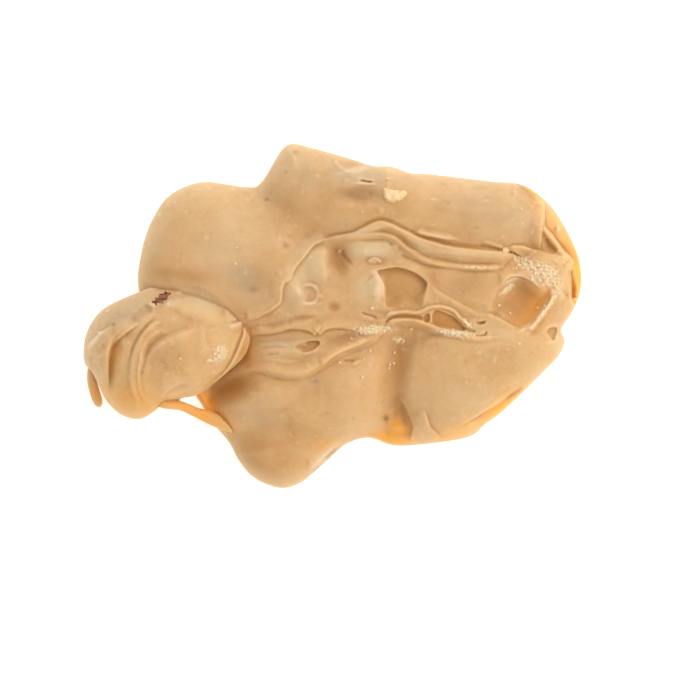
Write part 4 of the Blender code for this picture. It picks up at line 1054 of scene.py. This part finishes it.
def candy_finish(settings):
    """Set candy: soft and slightly see-through. It has painted glow where it is thin, painted shade where it
    is folded in and painted highlight on its crests.
    """
    finish = Finish("set candy", {
        "Subsurface Weight": 1.0,
        "Subsurface Radius": (1.0, 0.5, 0.22),
        "Subsurface Scale": settings.softness,
        "Specular IOR Level": 0.35,
    })
    cloud = finish.noise(0.011, 3.0, 0.55, 0.4)
    tint = finish.noise(0.014, 3.0, 0.6, 1.0)
    blotch = finish.noise(0.0035, 3.0, 0.6, 0.8)
    mottle = finish.noise(0.0013, 3.0, 0.65, 0.5)
    grain = finish.noise(0.0005, 3.0, 0.6)
    pit = finish.attribute("pit")
    line = finish.attribute("line")
    glow = finish.attribute("glow")
    thin = finish.attribute("thin")
    sugar = finish.attribute("sugar")
    colour = finish.layers(
        rgba(settings.candy),
        ((cloud - 0.38) * 2.6, settings.candy_rosy),
        ((tint - 0.5) * 2.4, settings.candy_green),
        ((blotch - 0.44) * 2.6, settings.candy_warm),
        ((mottle - 0.5) * 1.5, settings.film),
        # grey where a nut shows through, and painted shade
        (finish.attribute("grey_and_shade") * (0.45 + 0.9 * blotch), settings.grey_and_shade),
        # pale film, and painted light
        (finish.attribute("pale") * 0.85, settings.pale_film_and_light),
        # painted shade on the floors of burst bubbles
        (pit * 0.6, settings.pit),
        # painted shade in the hollows of folds
        (finish.attribute("hollow_shade") * (1.0 - pit) * 0.4, settings.hollow_shade),
        # painted highlight on the crests of folds
        (finish.attribute("crest") * 0.25, settings.crest),
        # whitish films, and painted highlight along the rope's crests
        (finish.attribute("frost_and_highlight"), settings.frost_and_highlight),
        # painted glow where the candy is thin
        (thin * 0.8 * (1.0 - glow), settings.edge),
        # painted orange glow through thin rims
        (glow * (0.7 + 1.2 * thin), settings.rim),
        # painted shade, browner
        (finish.attribute("brown_shade") * (0.75 + 0.5 * mottle), settings.brown_shade),
        # painted shade in fine creases
        ((line * -0.5 - 0.1) * (1.0 - 0.7 * pit), settings.crease_shade),
        # painted highlight on fine crests
        (line * 0.45, settings.crest),
        (finish.attribute("freckle") * 0.8, settings.freckle),
        (sugar * (0.5 + grain), settings.sugar),
    )
    finish.feed({
        "Base Color": colour,
        "Roughness": 0.44 + 0.2 * blotch + 0.3 * sugar,
        "Normal": finish.bump(0.5 * finish.noise(0.002, 2.0) + 0.3 * mottle + 0.2 * grain),
    })
    return finish.material


def sugar_finish(name, pale, warm):
    """Dry sugar: rough grains that are paler in some places."""
    finish = Finish(name, {"Specular IOR Level": 0.1})
    blotch = finish.noise(0.0009, 3.0, 0.6)
    grain = finish.noise(0.0003, 2.0)
    finish.feed({
        "Base Color": finish.layers(rgba(pale), ((blotch - 0.36) * 3.0, warm)),
        "Roughness": 0.6 + 0.3 * grain,
        "Normal": finish.bump(0.6 * blotch + 0.4 * grain),
    })
    return finish.material


def pecan_finish(settings):
    """Pecan skin: dark and red, with paler dust on its ridges."""
    finish = Finish("pecan skin", {"Specular IOR Level": 0.2})
    fibre = finish.noise(0.0009, 4.0, 0.65, 0.6)
    dust = finish.noise(0.0004, 3.0, 0.7)
    finish.feed({
        "Base Color": finish.layers(
            rgba(settings.skin),
            ((fibre - 0.35) * 2.2, settings.skin_light),
            (finish.attribute("crest") * (dust - 0.3) * 2.0, settings.dust),
        ),
        "Roughness": 0.6 + 0.3 * fibre,
        "Normal": finish.bump(fibre * 0.6 + dust * 0.4, 0.1 * MM),
    })
    return finish.material


def floor_finish(settings):
    """A plain pale floor that gives back a little light of its own, as a lit table does."""
    finish = Finish("pale floor", {
        "Specular IOR Level": 0.0,
        "Emission Strength": settings.floor_light,
        "Emission Color": (1.0, 1.0, 1.0, 1.0),
    })
    speckle = finish.noise(0.02, 2.0)
    finish.feed({
        "Base Color": finish.mix(speckle, rgba((0.80, 0.80, 0.80)), rgba((0.82, 0.82, 0.82))),
        "Roughness": 0.85 + 0.1 * speckle,
    })
    return finish.material


# --- Settings ---------------------------------------------------------------------------------------------

def colour_property(name, description, default):
    return FloatVectorProperty(name=name, description=description, subtype="COLOR", size=3, min=0.0, max=1.0,
                               default=default)


def length_property(name, description, default):
    return FloatProperty(name=name, description=description, unit="LENGTH", min=0.0, precision=5,
                         default=default)


class CandySettings(PropertyGroup):
    slab_grid: length_property("Slab grid", "Grid on which the folds are shaped", 0.27 * MM)
    fuse_grid: length_property("Fuse grid", "Grid on which the parts grow together", 0.23 * MM)
    triangles: IntProperty(name="Triangles", description="Triangles left in the candy", min=10000,
                           default=186000)
    softness: length_property("Softness", "How far light travels inside the candy", 0.7 * MM)
    candy: colour_property("Candy", "The candy's own colour", (0.645, 0.393, 0.168))
    candy_rosy: colour_property("Rosy", "Its paler, rosier clouds", (0.72, 0.435, 0.225))
    candy_green: colour_property("Green", "Its cooler, greener clouds", (0.60, 0.42, 0.20))
    candy_warm: colour_property("Warm", "Its browner blotches", (0.62, 0.345, 0.125))
    # Grey where a nut shows under the film, and painted shade
    grey_and_shade: colour_property("Grey", "Where a nut shows grey under the film", (0.52, 0.37, 0.22))
    film: colour_property("Film", "Thin pale film", (0.76, 0.56, 0.31))
    # Painted shade in browner areas
    brown_shade: colour_property("Brown", "Browner areas", (0.48, 0.22, 0.05))
    # Painted shade on the floors of burst bubbles
    pit: colour_property("Pit", "The floors of burst bubbles", (0.54, 0.27, 0.08))
    # Painted shade at the bottom of folds
    hollow_shade: colour_property("Hollow", "The bottom of folds", (0.52, 0.23, 0.05))
    # Whitish films, and painted highlight along the rope's crests
    frost_and_highlight: colour_property("Frost", "Whitish films and rims", (0.86, 0.71, 0.49))
    edge: colour_property("Edge", "Thin rims where little light comes through", (0.80, 0.55, 0.27))
    # Painted shade in the thin line of a sharp fold
    crease_shade: colour_property("Crease", "The thin line in a sharp fold", (0.38, 0.13, 0.03))
    # Pale film, and painted light on the faces that catch most
    pale_film_and_light: colour_property("Veil", "Pale film with a cooler cast", (0.72, 0.56, 0.33))
    # Painted highlight on the crests of folds
    crest: colour_property("Crest", "The crest of folds", (0.84, 0.60, 0.31))
    rim: colour_property("Rim", "Thin rims that let light through", (0.95, 0.45, 0.06))
    freckle: colour_property("Freckle", "Small dark spots", (0.30, 0.16, 0.09))
    sugar: colour_property("Sugar", "Sugar grown into the candy", (0.86, 0.70, 0.47))


class PecanSettings(PropertyGroup):
    overlap: length_property("Overlap", "How far the pecan reaches into the candy round it", 0.5 * MM)
    wrinkle: FloatProperty(name="Wrinkle", description="Depth of the wrinkles, as a share of the height",
                           min=0.0, max=0.5, default=0.12)
    skin: colour_property("Skin", "Dark skin", (0.13, 0.025, 0.01))
    skin_light: colour_property("Light skin", "Lighter streaks", (0.36, 0.095, 0.035))
    dust: colour_property("Dust", "Sugar dust on the ridges", (0.58, 0.34, 0.20))


class SugarSettings(PropertyGroup):
    crumb_size: length_property("Crumb size", "Mean size of a crumb", 0.42 * MM)
    density: FloatProperty(name="Density", description="Crumbs on each square millimetre", min=0.0,
                           default=8.0)
    seed: IntProperty(name="Seed", description="Which random scatter is used", default=7)
    sugar: colour_property("Sugar", "Dry sugar", (0.97, 0.75, 0.48))
    sugar_warm: colour_property("Warm sugar", "Sugar stained by the candy", (0.86, 0.58, 0.32))
    flake: colour_property("Flake", "Flakes of sugar", (0.90, 0.67, 0.39))
    flake_warm: colour_property("Warm flake", "Browner parts of the flakes", (0.80, 0.50, 0.23))


class StageSettings(PropertyGroup):
    camera_height: length_property("Camera height", "Height of the camera above the table", 3.0)
    frame_width: length_property("Frame width", "Width of table that the picture shows", 135.8 * MM)
    key_power: FloatProperty(name="Key light", description="Power of the large soft light", unit="POWER",
                             min=0.0, default=3.2)
    sky_light: FloatProperty(name="Sky light", description="Brightness all round", min=0.0, default=0.66)
    floor_light: FloatProperty(name="Floor light", description="The floor's own light", min=0.0,
                               default=0.55)
    floor_size: length_property("Floor size", "Side of the floor", 12.0)


class PralineSettings(PropertyGroup):
    candy: PointerProperty(type=CandySettings)
    pecan: PointerProperty(type=PecanSettings)
    sugar: PointerProperty(type=SugarSettings)
    stage: PointerProperty(type=StageSettings)


# --- Pieces -----------------------------------------------------------------------------------------------

def settle(x, y):
    """Where a design point lies on the finished candy, and the surface's direction there."""
    candy = made_candy()
    shift = candy["design_shift"]
    start = Vector((x - shift[0], y - shift[1], 40.0)) * MM
    hit, point, normal, _ = candy.ray_cast(start, Vector((0.0, 0.0, -1.0)))
    if not hit:
        raise RuntimeError(f"nothing lies under ({x}, {y})")
    return point, normal


class PRALINE_OT_candy(Operator):
    """Make the candy with its fine folds"""
    bl_idname = "praline.candy"
    bl_label = "Candy"

    def execute(self, context):
        settings = context.scene.praline.candy
        candy, shift = fused_candy(settings)
        mark_candy(candy, shift)
        candy.data.shade_smooth()
        candy.data.materials.append(candy_finish(settings))
        candy["design_shift"] = [float(value) for value in shift]
        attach(candy, "root")
        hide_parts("candy")
        return {"FINISHED"}


class PRALINE_OT_pecan(Operator):
    """Make the bare bit of pecan with its wrinkles"""
    bl_idname = "praline.pecan"
    bl_label = "Pecan"

    def execute(self, context):
        settings = context.scene.praline.pecan
        shape = bmesh.new()
        shape.from_mesh(bpy.data.objects["pecan"].data)
        bmesh.ops.remove_doubles(shape, verts=shape.verts, dist=0.001 * MM)
        bmesh.ops.recalc_face_normals(shape, faces=shape.faces)
        bmesh.ops.subdivide_edges(shape, edges=shape.edges, cuts=2, use_grid_fill=True, smooth=1.0)
        bmesh.ops.triangulate(shape, faces=shape.faces)
        pecan = shaped_object("pecan_bit", shape)
        swell_pecan(pecan.data, settings)
        pecan.data.shade_smooth()
        pecan.data.materials.append(pecan_finish(settings))
        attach(pecan, "root")
        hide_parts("pecan")
        return {"FINISHED"}


def swell_pecan(mesh, settings):
    """Presses the pecan into the candy round it and deepens its wrinkles."""
    points = read_points(mesh)
    normals = normals_of(mesh)
    centred = points - points.mean(axis=0)
    axes = np.linalg.svd(centred, full_matrices=False)[2]
    turned = centred @ axes.T
    along, across, _ = turned.T
    half = np.abs(turned).max(axis=0)
    long = np.sin(PECAN_RIDGES * across / half[1] + PECAN_BEND * np.sin(PECAN_BENDS * along / half[0]))
    cross = np.sin(CROSS_ALONG * along / half[0] + CROSS_ACROSS * across / half[1])
    wrinkle = (1.0 - CROSS_SHARE) * long + CROSS_SHARE * cross
    points += normals * (settings.overlap / MM * 0.5 + settings.wrinkle * half[2] * wrinkle)[:, None]
    write_points(mesh, points)
    store(mesh, "crest", np.clip(0.5 + 0.5 * wrinkle, 0.0, 1.0))


def flake_mesh(shape, flake, random):
    """Adds one flake: its outline as a plate with a chipped edge and an uneven top."""
    point, normal = settle(*flake.at)
    tilt = Vector((0.0, 0.0, 1.0)).rotation_difference(normal).to_matrix().to_4x4()
    place = Matrix.Translation(point) @ tilt @ Matrix.Rotation(np.radians(flake.turn), 4, "Z")
    rings = []
    outline = smooth_path(flake.outline, closed=True, steps=3)[:-1]
    for level, size in FLAKE_RINGS:
        ring = []
        for x, y in outline:
            jog = random.normal(0.0, FLAKE_JOG, 3)
            spot = Vector((x * size + jog[0], y * size + jog[1], level * flake.height + jog[2])) * MM
            ring.append(shape.verts.new(place @ spot))
        rings.append(ring)
    for low, high in zip(rings, rings[1:]):
        for index in range(len(low)):
            following = (index + 1) % len(low)
            shape.faces.new((low[index], low[following], high[following], high[index]))
    for ring, level in ((rings[0], FLAKE_RINGS[0][0]), (rings[-1], FLAKE_CROWN)):
        hub = shape.verts.new(place @ (Vector((0.0, 0.0, level * flake.height)) * MM))
        for index in range(len(ring)):
            shape.faces.new((ring[index], ring[(index + 1) % len(ring)], hub))


class PRALINE_OT_flakes(Operator):
    """Lay the flakes of sugar on the candy"""
    bl_idname = "praline.flakes"
    bl_label = "Sugar flakes"

    def execute(self, context):
        settings = context.scene.praline.sugar
        random = np.random.default_rng(settings.seed)
        shape = bmesh.new()
        turns = random.uniform(0.0, 360.0, len(GRAINS))
        grains = [Flake(at, GRAIN, GRAIN_HEIGHT, turn) for at, turn in zip(GRAINS, turns)]
        for flake in [*SUGAR_FLAKES, *grains]:
            flake_mesh(shape, flake, random)
        bmesh.ops.recalc_face_normals(shape, faces=shape.faces)
        bmesh.ops.triangulate(shape, faces=shape.faces)
        flakes = shaped_object("sugar_flakes", shape)
        flakes.data.materials.append(sugar_finish("sugar flake", settings.flake, settings.flake_warm))
        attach(flakes, "root")
        return {"FINISHED"}


CRUMB_INPUTS = {
    "Crumb size": "NodeSocketFloat",
    "Density": "NodeSocketFloat",
    "Seed": "NodeSocketInt",
    "Finish": "NodeSocketMaterial",
}
CRUMB_LEAST = (0.5, 0.4, 0.4)     # a crumb's smallest length, width and height, in crumb sizes
CRUMB_MOST = (1.8, 1.6, 1.3)
WHOLE_TURN = (6.283, 6.283, 6.283)


def crumb_tree():
    """Geometry nodes that scatter crumbs over a surface, thickest where its sugar attribute is 1."""
    tree = bpy.data.node_groups.new("sugar crumbs", "GeometryNodeTree")
    tree.interface.new_socket("Surface", in_out="INPUT", socket_type="NodeSocketGeometry")
    identifiers = {}
    for name, kind in CRUMB_INPUTS.items():
        identifiers[name] = tree.interface.new_socket(name, in_out="INPUT", socket_type=kind).identifier
    tree.interface.new_socket("Crumbs", in_out="OUTPUT", socket_type="NodeSocketGeometry")

    def node(kind, settings, inputs):
        """The outputs of a new node: its type, its settings, then the values or links of its sockets."""
        made = tree.nodes.new(kind)
        for name, value in settings.items():
            setattr(made, name, value)
        for name, value in inputs.items():
            if isinstance(value, bpy.types.NodeSocket):
                tree.links.new(value, made.inputs[name])
            else:
                made.inputs[name].default_value = value
        return made.outputs

    given = tree.nodes.new("NodeGroupInput").outputs
    sugar = node("GeometryNodeInputNamedAttribute", {"data_type": "FLOAT"}, {"Name": "sugar"})
    thick = node("ShaderNodeMath", {"operation": "POWER"}, {0: sugar["Attribute"], 1: 2.0})
    amount = node("ShaderNodeMath", {"operation": "MULTIPLY"}, {0: thick[0], 1: given["Density"]})
    spots = node("GeometryNodeDistributePointsOnFaces", {}, {
        "Mesh": given["Surface"], "Density": amount[0], "Seed": given["Seed"]})
    crystal = node("GeometryNodeMeshIcoSphere", {}, {"Radius": 0.5, "Subdivisions": 1})
    size = node("FunctionNodeRandomValue", {"data_type": "FLOAT_VECTOR"}, {
        0: CRUMB_LEAST, 1: CRUMB_MOST, "Seed": given["Seed"]})
    scale = node("ShaderNodeVectorMath", {"operation": "SCALE"}, {0: size[0], "Scale": given["Crumb size"]})
    turn = node("FunctionNodeRandomValue", {"data_type": "FLOAT_VECTOR"}, {
        0: (0.0, 0.0, 0.0), 1: WHOLE_TURN})
    laid = node("GeometryNodeInstanceOnPoints", {}, {
        "Points": spots["Points"], "Instance": crystal["Mesh"], "Scale": scale[0], "Rotation": turn[0]})
    real = node("GeometryNodeRealizeInstances", {}, {"Geometry": laid["Instances"]})
    coated = node("GeometryNodeSetMaterial", {}, {
        "Geometry": real["Geometry"], "Material": given["Finish"]})
    node("NodeGroupOutput", {}, {"Crumbs": coated["Geometry"]})
    return tree, identifiers


def made_candy():
    """The candy's object, on which other pieces lie."""
    candy = bpy.data.objects.get("candy_body")
    if candy is None:
        raise RuntimeError("the candy has to be made first")
    return candy


class PRALINE_OT_crumbs(Operator):
    """Scatter the crumbs of sugar over the candy"""
    bl_idname = "praline.crumbs"
    bl_label = "Sugar crumbs"

    def execute(self, context):
        settings = context.scene.praline.sugar
        crumbs = new_object("sugar_crumbs", made_candy().data.copy())
        tree, identifiers = crumb_tree()
        scatter = crumbs.modifiers.new("scatter", "NODES")
        scatter.node_group = tree
        values = {
            "Crumb size": settings.crumb_size,
            "Density": settings.density / MM ** 2,
            "Seed": settings.seed,
            "Finish": sugar_finish("dry sugar", settings.sugar, settings.sugar_warm),
        }
        for name, value in values.items():
            scatter[identifiers[name]] = value
        crumbs = plain_mesh(crumbs)
        if not crumbs.data.polygons:
            raise RuntimeError("no crumbs were scattered")
        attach(crumbs, "root")
        return {"FINISHED"}


# --- Stage ------------------------------------------------------------------------------------------------

PICTURE_MIDDLE = (1.5, -4.7)      # the design point in the middle of the picture
LAMP_DISTANCE = 0.8
LAMP_SIZE = 0.55

# Large soft lamps: where each stands, seen from the praline, its share of the power and its colour
LAMPS = {
    "key": ((0.55, 0.18, 0.80), 1.0, (1.0, 0.96, 0.90)),
    "cool_side": ((-0.10, 0.90, 0.45), 0.38, (0.80, 0.88, 1.0)),
    "warm_side": ((0.30, -0.90, 0.30), 0.28, (1.0, 0.86, 0.68)),
}


class PRALINE_OT_stage(Operator):
    """Set up the floor, the lights and the camera"""
    bl_idname = "praline.stage"
    bl_label = "Stage"

    def execute(self, context):
        settings = context.scene.praline.stage
        scene = context.scene
        scene.view_settings.view_transform = "Standard"
        self.floor(settings)
        self.lights(scene, settings)
        self.camera(scene, settings)
        return {"FINISHED"}

    def floor(self, settings):
        shape = bmesh.new()
        bmesh.ops.create_grid(shape, x_segments=1, y_segments=1, size=0.5 * settings.floor_size)
        floor = shaped_object("floor", shape)
        floor.data.materials.append(floor_finish(settings))

    def lights(self, scene, settings):
        world = bpy.data.worlds.new("soft surroundings")
        world.use_nodes = True
        sky = world.node_tree.nodes["Background"]
        sky.inputs["Color"].default_value = (1.0, 1.0, 1.0, 1.0)
        sky.inputs["Strength"].default_value = settings.sky_light
        scene.world = world
        for name, (place, share, colour) in LAMPS.items():
            lamp = bpy.data.lights.new(name, "AREA")
            lamp.energy = share * settings.key_power
            lamp.size = LAMP_SIZE
            lamp.color = colour
            item = new_object(name, lamp)
            direction = Vector(place).normalized()
            item.location = direction * LAMP_DISTANCE
            item.rotation_euler = direction.to_track_quat("Z", "Y").to_euler()

    def camera(self, scene, settings):
        lens = bpy.data.cameras.new("camera")
        lens.sensor_width = 36.0
        lens.lens = lens.sensor_width * settings.camera_height / settings.frame_width
        lens.clip_end = 100.0
        camera = new_object("camera", lens)
        candy = bpy.data.objects.get("candy_body")
        shift = candy["design_shift"] if candy else (0.0, 0.0)
        x = (PICTURE_MIDDLE[0] - shift[0]) * MM
        y = (PICTURE_MIDDLE[1] - shift[1]) * MM
        camera.location = (x, y, settings.camera_height)
        scene.camera = camera


class PRALINE_PT_panel(Panel):
    """Lists the praline's pieces"""
    bl_idname = "PRALINE_PT_panel"
    bl_label = "Pecan praline"
    bl_space_type = "VIEW_3D"
    bl_region_type = "UI"
    bl_category = "Praline"

    def draw(self, context):
        settings = context.scene.praline
        for operator in OPERATORS:
            self.layout.operator(operator.bl_idname)
        for group in (settings.candy, settings.pecan, settings.sugar, settings.stage):
            box = self.layout.box()
            for name in group.__annotations__:
                box.prop(group, name)


OPERATORS = (PRALINE_OT_candy, PRALINE_OT_pecan, PRALINE_OT_flakes, PRALINE_OT_crumbs, PRALINE_OT_stage)
CLASSES = (CandySettings, PecanSettings, SugarSettings, StageSettings, PralineSettings, *OPERATORS,
           PRALINE_PT_panel)


def register():
    for item in CLASSES:
        bpy.utils.register_class(item)
    bpy.types.Scene.praline = PointerProperty(type=PralineSettings)


def unregister():
    del bpy.types.Scene.praline
    for item in reversed(CLASSES):
        bpy.utils.unregister_class(item)


def main():
    register()
    bpy.ops.praline.candy()
    bpy.ops.praline.pecan()
    bpy.ops.praline.flakes()
    bpy.ops.praline.crumbs()
    bpy.ops.praline.stage()


if __name__ == "__main__":
    main()
